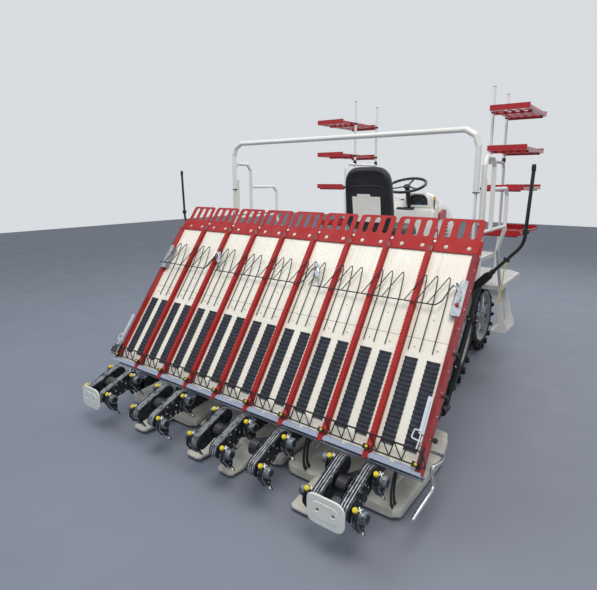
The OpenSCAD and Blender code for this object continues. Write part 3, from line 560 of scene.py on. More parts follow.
def dividerParts():
    # Strip whose upper edges carry small steps at a pitch, so that the edge reads as a saw from above:
    # half width = w/2 - bite * (0 or 1 along the slope)
    pitch, bite = 0.019, 0.0028
    parts = []
    steps = np.arange(0.0, tray["length"] - 0.001, pitch / 6)
    phase = (steps / pitch) % 1
    cut = bite * np.clip(4 * np.abs(phase - 0.5) - 0.9, 0, 1)
    half = tray["dividerWidth"] / 2
    h = tray["dividerHeight"]
    for x in laneEdges[1:-1]:
        rows = []
        for side, level in ((-1, 0.0002), (-1, h * 0.72), (-1, h - 0.0012), (-0.86, h), (0, h - 0.0022), (0.86, h),
                (1, h - 0.0012), (1, h * 0.72), (1, 0.0002)):
            wide = half if level < 0.001 else half - cut * (1 if abs(side) > 0.8 else 0)
            rows.append(np.stack([x + side * np.broadcast_to(wide, steps.shape), steps,
                np.full(steps.shape, level)], -1))
        parts.append(gridPart(np.stack(rows, 1), False, True, True))
        # Saddle of the strip over the lower rail, and its oval cap on the band
        saddle = [(-0.013, 0.0362), (0.004, 0.0362), (0.024, 0.0362), (0.03, h - 0.002), (0.06, h - 0.002),
            (0.052, h + 0.0035), (0.028, 0.0392), (0.002, 0.04), (-0.015, 0.0392), (-0.0175, 0.034)]
        parts.append(prism(saddle, x - half + 0.0015, x + half - 0.0015))
        dome = np.linspace(0, np.pi / 2, 7)
        cap = [(0.0062 + 0.0075 * math.sin(a), 0.019 * math.cos(a) + 0.0001) for a in dome]
        oval = lathe([(0.0055, 0.019)] + cap, 22, "z", slot=1)
        parts.append(moved(scaled(oval, (0.95, 1.75, 1)), (x, tray["length"] + 0.012, 0)))
    return parts


def makeTrayFrame():
    parts = dividerParts()
    w, length, h = tray["halfWidth"], tray["length"], tray["dividerHeight"]
    rivet = lathe([(0, 0.0055), (0.0018, 0.0052), (0.0032, 0.003), (0.0034, 0.0002)], 12, "x", slot=3)
    knob = lathe([(0, 0.006), (0.01, 0.006), (0.011, 0.012), (0.022, 0.012), (0.026, 0.008),
        (0.026, 0.0003)], 14, "x", slot=4)
    for side in (-1, 1):
        wall = [(w - 0.014, -0.034), (w + 0.008, -0.034), (w + 0.0079, h + 0.0022), (w + 0.0055, h + 0.004),
            (w - 0.012, h + 0.004), (w - 0.014, h + 0.002)]
        parts.append(prism([(side * x, z) for x, z in wall], 0.0, length, "y", 2))
        # Darker flange on top, then rivets and three knobs on the outer face
        parts.append(block((side * (w - 0.0145), 0.0, h + 0.0038),
            (side * (w + 0.0058), length - 0.001, h + 0.0052), 1))
        for t in np.arange(0.05, length, 0.105):
            at = (side * (w + 0.0079), t, 0.004 + 0.01 * math.sin(t * 40))
            parts.append(moved(scaled(rivet, (side, 1, 1)), at))
        for t in (0.16, 0.355, 0.56):
            parts.append(moved(scaled(knob, (side, 1, 1)), (side * (w + 0.0079), t, -0.012)))
    # Band across the top with an eased lower edge, two bolts to a lane and a white stud at each strip
    parts.append(prism([(0.0002 + length, 0), (length + tray["bandLength"], 0), (length + tray["bandLength"], 0.006),
        (length + 0.003, 0.006), (length, 0.004)], -w - 0.016, w + 0.016))
    for x in laneCentres:
        for shift in (-0.04, 0.08):
            parts += hexBolt((x + shift, length + 0.027, 0.0103), (0, 0, 1), 0.012, 0.005, slot=3)
    for x in laneEdges[1:-1]:
        stud = lathe([(0, 0.008), (0.004, 0.008), (0.006, 0.0055), (0.0065, 0.0002)], 14, "z", slot=5)
        parts.append(moved(stud, (x + 0.016, length + 0.058, 0.006)))
    makePiece("trayFrame", onTray(parts), [redPaint, darkRedPaint, orangeRedPaint, zincBolt, blackPlastic,
        whiteShell], "tray", ["tray_dividers"])


plateSettings = dict(half=0.114, shift=0.014, slotPitch=0.066, slotHalf=0.0165)


def makeSlotPlates():
    # One pressed plate to a lane: three slots, round upper corners and a raised rim along both sides
    p = plateSettings
    full = tray["bandLength"] + tray["plateLength"]
    parts = []
    for x in laneCentres:
        low, high = x - p["half"] + p["shift"], x + p["half"] + p["shift"]
        outline = roundedBox((low, 0), (high, full), [0.001, 0.001, 0.022, 0.022], 6)
        slots = [barOutline((x + i * p["slotPitch"] + p["shift"], tray["bandLength"] + 0.023),
            (x + i * p["slotPitch"] + p["shift"], full - 0.03), p["slotHalf"]) for i in (-1, 0, 1)]
        plate = cutPlate(outline, slots, 0.0024, 0.0005)
        parts.append(moved(plate, (0, tray["length"], 0.0078)))
        for edge in (low + 0.0014, high - 0.0014):
            rim = prism([(0.006, 0.0066), (full - 0.03, 0.0066), (full - 0.03, 0.0102), (full - 0.036, 0.0103),
                (0.012, 0.0103), (0.006, 0.009)], edge - 0.0013, edge + 0.0013)
            parts.append(moved(rim, (0, tray["length"], 0)))
    makePiece("slotPlates", onTray(parts), [redPaint], "tray", ["tray_top"])


beltSettings = dict(width=0.066, low=0.0812, high=0.5015, pitch=0.022, height=0.0068)


def makeFeedBelts():
    # Lugged belt: half width = w/2 - 1.6 mm * (0.5 + 0.5 cos(2 pi t / pitch)), height = base + lug * ridge(t)
    b = beltSettings
    t = np.arange(b["low"], b["high"], b["pitch"] / 7)
    wave = 0.5 + 0.5 * np.cos(2 * np.pi * t / b["pitch"])
    half = b["width"] / 2 - 0.0016 * wave
    ridge = np.clip(1.6 - 2.4 * wave, 0, 1)
    high = 0.0036 + (b["height"] - 0.0036) * ridge
    section = [(-1.0, 0.0002, 0), (-1.0, 0.0, 0.75), (-0.93, 0.0, 1.0), (-0.5, 0.0, 1.0), (-0.42, 0.0, 0.82),
        (0.42, 0.0, 0.82), (0.5, 0.0, 1.0), (0.93, 0.0, 1.0), (1.0, 0.0, 0.75), (1.0, 0.0002, 0)]
    rows = [np.stack([side * half, t, base + share * high], -1) for side, base, share in section]
    belt = gridPart(np.stack(rows, 1), False, True, True)
    parts = [moved(belt, (x + s * 0.056, 0, 0)) for x in laneCentres for s in (-1, 1)]
    # Pale oval rims between the belts of two lanes
    for x in laneCentres[4:6]:
        rim = cutPlate(barOutline((x, 0.29), (x, 0.335), 0.009),
            [barOutline((x, 0.29), (x, 0.335), 0.0066)], 0.0012, 0.0002, 1)
        parts.append(moved(rim, (0, 0, 0.0005)))
    makePiece("feedBelts", onTray(parts), [beltRubber, whiteShell], "tray", ["feed_belts"])


upperWireSettings = dict(radius=0.0027, barAt=0.774, level=0.036, floor=0.0046,
    frames=((-1.16, -0.64), (-0.56, 0.19), (0.262, 1.03)), tips=(-0.093, -0.034, 0.03))


def makeUpperWires():
    # Each frame is one bent bar; a finger is a hairpin from the bar up to a tip and straight down to the belts
    u = upperWireSettings
    barAt, level = u["barAt"], u["level"]
    parts = []
    for start, end in u["frames"]:
        bar = [(start, barAt, level), (end - 0.03, barAt, level), (end - 0.004, barAt + 0.026, level),
            (end + 0.022, 0.875, level), (end + 0.046, 0.905, level + 0.004), (end + 0.068, 0.884, level + 0.006)]
        if end > 1:
            bar[-1] = (end + 0.055, 0.893, level + 0.006)
        parts.append(tube(bar, u["radius"] + 0.0006, 10, 0.014))
        # Bent plate and spring that hold the frame at its end
        cx = end + 0.062
        if end < 1:
            plate = cutPlate(barOutline((0, -0.03), (0, 0.028), 0.017), [ring(0.005, 12)], 0.0022, 0.0004, 1)
            parts.append(moved(plate, (cx, 0.875, level + 0.0022), turnZ(0.5)))
            legs = [(cx + 0.012, 0.84, level), (cx + 0.03, 0.8, 0.014), (cx + 0.034, 0.775, 0.0046)]
            parts.append(tube(legs, 0.003, 8, 0.01, slot=1))
            coil = np.linspace(0, 14 * np.pi, 150)
            path = np.stack([cx - 0.02 + 0.0065 * np.cos(coil), 0.868 + coil * 0.0006,
                level + 0.006 + 0.0065 * np.sin(coil)], -1)
            parts.append(tube(path, 0.0012, 6, slot=1))
            lever = [(cx - 0.03, 0.905, level + 0.012), (cx, 0.89, level + 0.012), (cx + 0.02, 0.86, level + 0.008)]
            parts.append(tube(lever, 0.0035, 8, 0.01, slot=2))
    for i, x in enumerate(laneCentres):
        for k, shift in enumerate(u["tips"]):
            if i == 0 and k == 0:
                continue
            tip = x + shift
            top = 0.951 if i < 3 else 0.935
            inside = [f for f in u["frames"] if f[0] - 0.01 < tip - 0.075 < f[1] + 0.01]
            foot = tip - (0.075 if inside else 0.05)
            path = [(foot, barAt - 0.003, level + 0.001), (tip - 0.006, top - 0.012, 0.032), (tip + 0.001, top, 0.03),
                (tip + 0.006, top - 0.014, 0.026), (tip + 0.0075, 0.84, 0.008), (tip + 0.008, 0.8, u["floor"]),
                (tip + 0.009, 0.535, u["floor"])]
            parts.append(tube(path, u["radius"], 8, 0.009))
    # Galvanised bracket on the right wall with its sprung clip and red button
    w = tray["halfWidth"]
    outline = roundedOutline([(w - 0.048, 0.735), (w + 0.002, 0.735), (w + 0.002, 0.925), (w - 0.036, 0.925)],
        [0.01, 0.004, 0.004, 0.016])
    for side in (-1, 1):
        plate = cutPlate(outline * [side, 1], [ring(0.004, 10) + [side * (w - 0.02), 0.86]], 0.0024, 0.0004, 1)
        parts += [moved(plate, (0, 0, 0.0335)),
            block((side * (w - 0.0485), 0.737, 0.0045), (side * (w - 0.0461), 0.9, 0.0334), 1)]
    clip = [(w - 0.058, 0.9, 0.045), (w - 0.05, 0.885, 0.05), (w - 0.03, 0.865, 0.046), (w - 0.018, 0.835, 0.044),
        (w - 0.022, 0.8, 0.042)]
    parts.append(tube(clip, 0.0055, 10, 0.02, slot=2))
    knob = lathe([(0, 0.0055), (0.004, 0.009), (0.011, 0.009), (0.014, 0.006), (0.0145, 0.0002)], 16, "z", slot=3)
    parts.append(moved(knob, (w - 0.022, 0.79, 0.0347)))
    makePiece("upperWires", onTray(parts), [blackWire, galvanisedSheet, chromePlate, redPlastic], "tray",
        ["upper_wires"])


lowerWireSettings = dict(level=0.0425, lowAt=0.034, highAt=0.094, tips=(-0.087, -0.026, 0.035),
    stripLow=0.165, stripHigh=0.335)


def makeLowerWires():
    # Two bars along the lower edge and V-shaped teeth between the upper bar and the floor
    w = tray["halfWidth"]
    u = lowerWireSettings
    level, lowAt, highAt, low, high = u["level"], u["lowAt"], u["highAt"], u["stripLow"], u["stripHigh"]
    parts = []
    right = w + 0.012
    topBar = [(-w - 0.06, highAt, level), (right - 0.03, highAt, level), (right - 0.005, highAt - 0.012, level),
        (right + 0.012, lowAt + 0.014, level), (right + 0.016, lowAt - 0.004, level)]
    lowBar = [(-w - 0.055, lowAt - 0.002, level - 0.001), (right + 0.016, lowAt - 0.002, level - 0.001)]
    parts += [tube(topBar, 0.0042, 10, 0.012), tube(lowBar, 0.0034, 10)]
    for x in laneCentres:
        for tip in u["tips"]:
            at = x + tip
            path = [(at - 0.042, highAt, level), (at - 0.004, 0.04, 0.017), (at, 0.0355, 0.0145),
                (at + 0.003, 0.042, 0.017), (at + 0.018, highAt, level)]
            parts.append(tube(path, 0.003, 8, 0.006))
    for x in laneEdges:
        at = x - 0.005 if abs(x) < 1.1 else x * 0.985
        clip = roundedBox((-0.014, -0.012), (0.014, 0.012), 0.004, 3)
        parts.append(prism(clip + [at, lowAt], level - 0.0085, level + 0.009, "z", 1))
        dot = lathe([(0, 0.0065), (0.0042, 0.0065), (0.0058, 0.0045), (0.006, 0.0002)], 14, "z", slot=2)
        parts.append(moved(dot, (at + 0.006, lowAt + 0.002, level + 0.0088)))
    # Black brackets on both walls, and a plate under the left end of the bars
    for side in (-1, 1):
        parts.append(block((side * (w - 0.006), lowAt - 0.014, 0.0345),
            (side * (w + 0.004), highAt + 0.02, level - 0.004), 1))
    stub = cutPlate(roundedOutline([(-0.03, 0), (0.03, 0), (0.022, 0.05), (-0.03, 0.04)], 0.01),
        [ring(0.007, 12) + [0, 0.022]], 0.004, 0.0006, 1)
    parts.append(moved(stub, (-w - 0.05, 0.04, 0.037)))
    # Pale guard strips, inside the right wall and outside the left one, each with a wire bracket under it
    for edge in (w - 0.0155, -w - 0.0235):
        profile = [(low, 0.0275), (high, 0.0275), (high, 0.0298), (low + 0.007, 0.0298), (low, 0.0285)]
        parts.append(prism(profile, edge - 0.0265, edge, slot=3))
        profile = [(low, 0.0298), (high, 0.0298), (high, 0.0345), (low, 0.0345)]
        parts.append(prism(profile, edge - 0.002, edge, slot=3))
        bracket = [(edge - 0.0045, 0.156), (edge - 0.0045, 0.132), (edge - 0.0525, 0.138),
            (edge - 0.0465, 0.178), (edge - 0.0145, 0.176)]
        parts.append(tube([(x, t, 0.0305) for x, t in bracket], 0.0036, 8, 0.008, slot=3))
        holder = [(edge - 0.014, highAt, level), (edge - 0.014, 0.135, 0.033), (edge - 0.014, 0.318, 0.033)]
        parts.append(tube(holder, 0.0034, 8, 0.02, slot=3))
    makePiece("lowerWires", onTray(parts), [blackWire, blackPlastic, yellowPlastic, paleSheet], "tray",
        ["lower_wires"])


makeTrayFloor()
makeTrayFrame()
makeSlotPlates()
makeFeedBelts()
makeUpperWires()
makeLowerWires()
print("stage: tray")


# Planting unit

unit = dict(rotorY=-0.207, rotorZ=0.263, span=0.186, tilt=math.radians(20.7), caseWidth=0.052, armWidth=0.034,
    bossEnd=0.044, chainWidth=0.056, caseX=0.056, armX=0.007, chainAt=(-3.5, -1.5, 0.5, 1.5, 3.5))
caseSides = [1 if i in (0, 2, 4, 7) else -1 for i in range(row["count"])]
frontPivot = (unit["rotorY"] + unit["span"] / 2 * math.cos(unit["tilt"]),
    unit["rotorZ"] + unit["span"] / 2 * math.sin(unit["tilt"]))
rearPivot = (unit["rotorY"] - unit["span"] / 2 * math.cos(unit["tilt"]),
    unit["rotorZ"] - unit["span"] / 2 * math.sin(unit["tilt"]))


def placed(parts):
    # From a place measured ahead of the tray's edge to the frame's Y
    return [moved(part, (0, tray["edgeY"], 0)) for part in parts]


def makeRotorCases():
    # Cast case between the two arm pivots: three ribs in a lighter copy of the alloy as painted highlight, two dark
    # plates and a bolted cover on the shaft
    u = unit
    parts = []
    body = barOutline(rearPivot, frontPivot, 0.0355, 14)
    for x, side in zip(laneCentres, caseSides):
        cx = x + side * u["caseX"]
        half = u["caseWidth"] / 2
        parts.append(prism(body, cx - half + 0.003, cx + half - 0.003, slot=1))
        for shift, radius, slot in ((-0.0235, 0.0405, 0), (-0.013, 0.0415, 4), (0.0, 0.0415, 4),
                (0.013, 0.0415, 4), (0.0235, 0.0405, 0)):
            rib = cutPlate(barOutline(rearPivot, frontPivot, radius, 14), [], 0.005, 0.0012, slot)
            parts.append(moved(rib, (cx + shift, 0, 0), alongside))
        for a in np.arange(0.06, 0.94, 0.22):
            spot = np.array(rearPivot) * (1 - a) + np.array(frontPivot) * a
            across = np.array([-math.sin(u["tilt"]), math.cos(u["tilt"])]) * 0.0345
            for level in (spot + across, spot - across):
                parts.append(block((cx - 0.024, level[0] - 0.004, level[1] - 0.004),
                    (cx + 0.024, level[0] + 0.004, level[1] + 0.004)))
        for face in (-1, 1):
            flange = [(half - 0.005, 0.0345), (half - 0.005, 0.0475), (half, 0.049), (half + 0.002, 0.0465),
                (half + 0.002, 0.03), (half + 0.004, 0.026), (half + 0.004, 0.0002)]
            flange = flange if face > 0 else [(-a, r) for a, r in flange][::-1]
            parts.append(moved(lathe(flange, 26), (cx, u["rotorY"], u["rotorZ"])))
        for a in np.arange(6) * math.pi / 3 + 0.3:
            at = (cx - side * (half - 0.001), u["rotorY"] + 0.038 * math.cos(a), u["rotorZ"] + 0.038 * math.sin(a))
            parts += hexBolt(at, (-side, 0, 0), 0.009, 0.005, False, 2)
    for c in u["chainAt"]:
        left = 0.049 if c != 1.5 else 0.036
        shaft = lathe([(-left, 0.0138), (0.049, 0.0138)], 18, slot=3)
        parts.append(moved(shaft, (c * row["pitch"], u["rotorY"], u["rotorZ"])))
    makePiece("rotorCases", placed(parts), [castAlloy, darkCasting, zincBolt, drawnAluminium, ribHighlightAlloy], "rotors",
        ["rotor_cases"])


def armParts(side):
    # One planting arm about its pivot: boss with a bored end, ribbed casting, pusher rod and fork of two tines
    half = unit["armWidth"] / 2
    freeEnd = -side * unit["bossEnd"]
    length = half + unit["bossEnd"]
    bore = [(0, 0.0002), (0, 0.022), (0.003, 0.0255), (length - 0.004, 0.0255), (length, 0.0235), (length, 0.015)]
    disc = [(0, 0.0002), (0.0001, 0.0146), (0.0008, 0.0148)]
    if side > 0:
        bore = [(length - a, r) for a, r in bore][::-1]
        disc = [(0, 0.0148), (0.0008, 0.0146), (0.0009, 0.0002)]
    parts = [lathe(bore, 26, origin=(min(side * half, freeEnd), 0, 0)),
        lathe(disc, 20, origin=(max(freeEnd, freeEnd - side * 0.0002), 0, 0), slot=2)]
    # Casting: an outline in Y and Z with eased edges, then ribs standing on its rear face
    casting = roundedOutline([(-0.022, 0.012), (-0.03, -0.03), (0.01, -0.084), (0.034, -0.078),
        (0.026, 0.002)], 0.014, 4)
    parts.append(moved(cutPlate(casting, [], unit["armWidth"] - 0.006, 0.003, 1), (0, 0, 0), alongside))
    for shift in (-0.0135, -0.0045, 0.0045, 0.0135):
        rib = [(-0.0255, 0.006), (-0.0335, -0.03), (0.006, -0.086), (0.012, -0.08), (-0.024, -0.03), (-0.018, 0.006)]
        parts.append(prism(rib, shift - 0.0018, shift + 0.0018))
    # Collar and yellow cap on the upper face, with a small wing screw beside it, white as a painted highlight
    lean = turnX(math.radians(38))
    neck = moved(lathe([(0, 0.014), (0.012, 0.0135), (0.013, 0.0115)], 18, "z"), (-0.003, -0.01, 0.018), lean)
    cap = lathe([(0.012, 0.0122), (0.02, 0.012), (0.0235, 0.0098), (0.0245, 0.006),
        (0.0248, 0.0002)], 20, "z", slot=3)
    parts += [neck, moved(cap, (-0.003, -0.01, 0.018), lean)]
    # Wing screw in white plastic: painted glint
    for a in (0.7, 2.27):
        end = np.array([0.0125 * math.cos(a), 0.0125 * math.sin(a), 0.0])
        parts.append(moved(tube([-end, end], 0.0028, 7, slot=6), (0.0155, -0.012, 0.034), lean))
    parts.append(moved(lathe([(-0.01, 0.003), (0.002, 0.003)], 8, "z", slot=4), (0.016, -0.012, 0.0335), lean))
    # Guide sleeve with its spring, and the lever on the case side
    sleeve = tube([(0, 0.01, -0.052), (0, 0.026, -0.09)], 0.0085, 14, slot=1)
    turns = np.linspace(0, 12 * math.pi, 72)
    spring = np.stack([0.0062 * np.cos(turns), 0.026 + 0.00042 * turns + 0.0058 * np.sin(turns),
        -0.089 - 0.00062 * turns + 0.0022 * np.sin(turns)], -1)
    lever = [(-side * 0.01, -0.02, 0.024), (-side * 0.012, -0.034, 0.004), (-side * 0.012, -0.037, -0.028),
        (-side * 0.01, -0.012, -0.066)]
    parts += [tube(spring, 0.0012, 5, slot=4), tube(lever, 0.0042, 8, 0.012, slot=5)]
    # Black dust cover round the neck, then the pusher rod and the fork's two tines
    hood = roundedOutline([(-0.03, 0.006), (-0.03, 0.022), (-0.01, 0.03), (0.016, 0.022), (0.016, 0.006)], 0.006, 4)
    parts.append(prism(hood, -0.0125, 0.0125, slot=2))
    pusher = tube([(0, 0.024, -0.086), (0, 0.0455, -0.119)], 0.0035, 8, slot=4)
    parts += [sleeve, pusher]
    tine = [(0.014, -0.07), (0.031, -0.076), (0.0575, -0.127), (0.0535, -0.1292), (0.04, -0.11)]
    parts += [prism(tine, shift - 0.0011, shift + 0.0011, slot=5) for shift in (-0.0048, 0.0048)]
    for at in ((0.016, -0.03), (0.012, -0.06), (-0.012, -0.022)):
        for face in (-1, 1):
            parts += hexBolt((face * (half - 0.0032), at[0], at[1]), (face, 0, 0), 0.0075, 0.004, False, 4)
    return parts


def makeArms(name, node, body, pivot):
    arms = {side: armParts(side) for side in (-1, 1)}
    parts = [moved(part, (x + side * unit["armX"], *pivot))
        for x, side in zip(laneCentres, caseSides) for part in arms[side]]
    makePiece(name, placed(parts), [armAlloy, darkCasting, blackPlastic, yellowPlastic, chromePlate, blackPaint,
        whiteShell], body, [node])


def makeChainCases():
    # Pressed chain case in two halves with a bolted flange round the joint
    parts = []
    low, high, rotor = (-0.01, 0.192), (0.26, 0.217), (unit["rotorY"], unit["rotorZ"])
    for c in unit["chainAt"]:
        x = c * row["pitch"]
        half = unit["chainWidth"] / 2
        for a, b, radius in ((low, high, 0.0335), (low, rotor, 0.0325)):
            flange = cutPlate(barOutline(a, b, radius, 12), [], 2 * half - 0.004, 0.004)
            cover = cutPlate(barOutline(a, b, radius - 0.012, 12), [], 2 * half, 0.0015, 1)
            parts += [moved(flange, (x, 0, 0), alongside), moved(cover, (x, 0, 0), alongside)]
        boss = [(-half, 0.02), (-half, 0.036), (-half + 0.005, 0.0415), (half - 0.005, 0.0415),
            (half, 0.036), (half, 0.02)]
        parts += [lathe(boss, 26, origin=(x, *rotor)),
            block((x - half - 0.006, 0.24, 0.179), (x + half + 0.006, 0.2996, 0.253), 1)]
        for a, b in ((low, high), (low, rotor)):
            a, b = np.array(a), np.array(b)
            along = (b - a) / np.linalg.norm(b - a)
            out = np.array([-along[1], along[0]])
            for share in (0.12, 0.4, 0.68, 0.9):
                for face in (-1, 1):
                    at = a + (b - a) * share + out * 0.0265 * face
                    for side in (-1, 1):
                        parts += hexBolt((x + side * (half - 0.0022), at[0], at[1]),
                            (side, 0, 0), 0.008, 0.005, False, 2)
    makePiece("chainCases", placed(parts), [blackPaint, darkCasting, zincBolt], "planter",
        ["chain_cases"])


def hullPart(stations, sides=36, power=5.0):
    # Loft of rounded boxes: |x/w|^p + |z/h|^p = 1 at each station [y, middle x, half width, bottom, top]
    s = np.array(stations, float)
    angle = np.arange(sides) * 2 * np.pi / sides
    px = np.sign(np.cos(angle)) * np.abs(np.cos(angle)) ** (2 / power)
    pz = np.sign(np.sin(angle)) * np.abs(np.sin(angle)) ** (2 / power)
    x = s[:, 1:2] + s[:, 2:3] * px
    z = (s[:, 3:4] + s[:, 4:5]) / 2 + (s[:, 4:5] - s[:, 3:4]) / 2 * pz
    y = np.broadcast_to(s[:, :1], x.shape)
    return gridPart(np.stack([x, y, z], -1), False, True, True)


def easedStations(knots, count=40):
    # Stations between given knots along a smooth curve: u^2 (3 - 2u) between each two
    knots = np.array(knots, float)
    t = np.linspace(0, len(knots) - 1, count)
    i = np.minimum(t.astype(int), len(knots) - 2)
    u = t - i
    ease = (u * u * (3 - 2 * u))[:, None]
    values = knots[i] * (1 - ease) + knots[i + 1] * ease
    values[:, 0] = knots[i, 0] * (1 - u) + knots[i + 1, 0] * u
    return values


floatSettings = dict(half=0.33, under=0.014)


def makeFloats():
    # Three hulls, each with raised lengthwise ribs, a hanger and flat tails before the rotary cases
    half = floatSettings["half"]
    parts = []
    for middle, tails in ((0.0, (-0.125, 0.125)), (-0.7, (0.075,)), (0.7, (-0.075,))):
        hull = [hullPart(easedStations([(0.022, 0, half - 0.03, 0.004, 0.044), (0.05, 0, half, 0.0, 0.054),
            (0.12, 0, half, 0.0, 0.062), (0.3, 0, half, 0.0, 0.066), (0.56, 0, half, 0.002, 0.076),
            (0.66, 0, half - 0.01, 0.034, 0.104), (0.72, 0, half - 0.03, 0.078, 0.118),
            (0.739, 0, half - 0.06, 0.098, 0.112)]), 44, 9)]
        # Raised lengthwise ribs on the deck of the hull, and the hanger with its bolts
        for shift in (-0.22, -0.11, 0.11, 0.22):
            hull.append(hullPart(easedStations([(0.1, shift, 0.01, 0.05, 0.06), (0.15, shift, 0.018, 0.05, 0.074),
                (0.52, shift, 0.018, 0.055, 0.082), (0.58, shift, 0.01, 0.06, 0.078)], 16), 16, 4))
        hull += [block((-0.018, 0.312, 0.058), (0.018, 0.348, 0.1806), 1),
            block((-0.05, 0.29, 0.0645), (0.05, 0.37, 0.074), 1)]
        for dx in (-0.038, 0.038):
            for y in (0.302, 0.358):
                hull += hexBolt((dx, y, 0.074), (0, 0, 1), 0.011, 0.006, slot=2)
        for x in tails:
            hull.append(hullPart(easedStations([(-0.1995, x, 0.04, 0.006, 0.014), (-0.185, x, 0.056, 0.003, 0.021),
                (-0.125, x, 0.06, 0.001, 0.023), (-0.1, x, 0.061, 0.001, 0.04), (-0.06, x, 0.062, 0.0, 0.045),
                (0.02, x, 0.062, 0.0, 0.05), (0.062, x, 0.062, 0.0, 0.05)], 44), 36, 7))
        parts += [moved(part, (middle, 0, floatSettings["under"])) for part in hull]
    makePiece("floats", placed(parts), [floatPlastic, framePaint, zincBolt], "planter", ["floats"])


def makeBottomRail():
    # Rail along the tray's lower edge: its lip widens between the strips, top = a - b * bell(distance to a strip)
    half = tray["halfWidth"] + 0.015
    lip = tray["dividerHeight"] + 0.005
    s = np.arange(-half, half + 0.001, 0.0035)
    near, middle = [np.abs((s - first + row["pitch"] / 2) % row["pitch"] - row["pitch"] / 2)
        for first in (laneEdges[0], laneCentres[0])]
    top = 0.0212 - 0.0125 * np.exp(-(near / 0.021) ** 4)
    top = top - 0.01 * (np.abs(middle) < 0.01)
    rows = []
    for k, level in ((0, lip), (1, lip), (2, lip + 0.0026), (3, lip + 0.0028)):
        t = [np.full(s.shape, -0.006), top, top - 0.001, np.full(s.shape, -0.0058)][k]
        rows.append(np.stack([s, t, np.full(s.shape, level)], -1))
    parts = [gridPart(np.stack(rows, 1), False, True, True)]
    parts.append(block((-half, -0.006, -0.034), (half, -0.0004, lip + 0.0001)))
    # Rolled lower bead and the rods below the rail
    parts += [tube([(-half, -0.006, -0.03), (half, -0.006, -0.03)], 0.0045, 10),
        tube([(-half, -0.016, -0.02), (half, -0.016, -0.02)], 0.0066, 12, slot=1)]
    for x in laneEdges:
        parts.append(block((x - 0.005, -0.016, -0.024), (x + 0.005, -0.005, -0.016), 1))
    for x in laneCentres[::2]:
        wire = [(x + 0.06, -0.018, -0.026), (x + 0.06, -0.046, -0.03), (x + 0.09, -0.05, -0.03),
            (x + 0.098, -0.03, -0.03)]
        parts.append(tube(wire, 0.0022, 6, 0.008, slot=1))
    parts = [moved(p, (0, -tray["edgeY"], 0)) for p in onTray(parts)]
    for c in unit["chainAt"]:
        x = c * row["pitch"]
        foot = 0.2295
        parts += [block((x - 0.02, 0.0042, foot), (x + 0.02, 0.0215, 0.2805)),
            block((x - 0.027, 0.0042, foot), (x + 0.027, 0.034, foot + 0.006))]
        for dx in (-0.016, 0.016):
            parts += hexBolt((x + dx, 0.0043, 0.262), (0, -1, 0), 0.008, 0.005, slot=2)
    makePiece("bottomRail", placed(parts), [railPaint, drawnAluminium, zincBolt], "planter",
        ["bottom_rail"])


guardSettings = dict(z=0.222, boltX=0.038, face=-0.349, armZ=0.176, armHalf=0.016, lanes=3.5,
    strapX=(-1.0, -0.51, 0.51, 1.0))


def makeGuardPlates():
    # Blank white plate with two bolt holes behind each outer planting arm, black discs in the holes as painted shade
    # seen through them, and the dark arm that carries it
    g = guardSettings
    parts = []
    for x in (-g["lanes"] * row["pitch"], g["lanes"] * row["pitch"]):
        holes = [ring(0.0105, 18) + [s, 0] for s in (-g["boltX"], g["boltX"])]
        for half, radius, thickness, ease, y in (((0.089, 0.063), 0.045, 0.0095, 0.004, -0.3533),
                ((0.062, 0.036), 0.03, 0.0024, 0.0011, -0.3588)):
            outline = roundedBox((-half[0], -half[1]), half, radius, 8)
            parts.append(moved(cutPlate(outline, holes, thickness, ease), (x, y, g["z"]), standing))
        # Black discs that fill the bolt holes: painted shade
        parts += [lathe([(-0.0025, 0.0107), (0.0025, 0.0107), (0.0026, 0.0002)], 18, "y", (x + s, -0.351, g["z"]), 1)
            for s in (-g["boltX"], g["boltX"])]
        arm = [(x, g["face"], g["armZ"]), (x, -0.3, g["armZ"]), (x, unit["rotorY"], g["armZ"]),
            (x, unit["rotorY"] + 0.002, 0.2015)]
        parts += [sweep(rounded(arm, 0.006), flatBar(g["armHalf"], 0.004), slot=2),
            block((x - g["armHalf"], -0.3492, 0.172), (x + g["armHalf"], -0.3462, 0.242), 2)]
    makePiece("guardPlates", placed(parts), [platePlastic, blackPlastic, framePaint], "planter",
        ["guard_plates"])


def makeEndGuards():
    # Bright guard rods at both ends
    rods = [tube([(1.0305, 0.33, 0.225), (1.12, 0.33, 0.225), (1.146, 0.2, 0.265), (1.146, 0.076, 0.302),
        (1.146, 0.124, 0.206), (1.146, 0.106, 0.178), (1.152, -0.126, 0.174)], 0.0092, 16, 0.034),
        lathe([(-0.004, 0.0092), (0.0, 0.0078), (0.001, 0.0002)], 12, "y", (1.152, -0.127, 0.174))]
    makePiece("endGuards", placed(rods + mirrored(rods)), [chromePlate], "planter", ["end_guards"])


def makeRubberStraps():
    # Black rubber straps between the rail and the floats, two at each place
    straps = []
    for x in guardSettings["strapX"]:
        for shift in (0.0, 0.03):
            path = [(x, 0.03 + shift, 0.262), (x, 0.012 + shift, 0.235), (x - 0.004, -0.002 + shift, 0.16),
                (x - 0.004, 0.004 + shift, 0.1), (x - 0.004, 0.026 + shift, 0.073)]
            straps.append(sweep(rounded(path, 0.05, 7), flatBar(0.0085, 0.002), up=(1, 0, 0)))
    makePiece("rubberStraps", placed(straps), [lugRubber], "planter")


makeRotorCases()
makeArms("armsFront", "arms_front", "arms_front", frontPivot)
makeArms("armsRear", "arms_rear", "arms_rear", rearPivot)
makeChainCases()
makeFloats()
makeBottomRail()
makeGuardPlates()
makeEndGuards()
makeRubberStraps()
print("stage: planting unit")


# Wheels

rearWheel = dict(x=0.71, y=1.58, radius=0.475, rimRadius=0.37, bodyRadius=0.427, width=0.058, lugs=26,
    hub=0.066, bore=0.0222, spokes=6)
frontWheel = dict(x=0.61, y=2.63, radius=0.325, rimRadius=0.23, bodyRadius=0.28, width=0.058, lugs=18,
    hub=0.052, bore=0.0182, spokes=5)


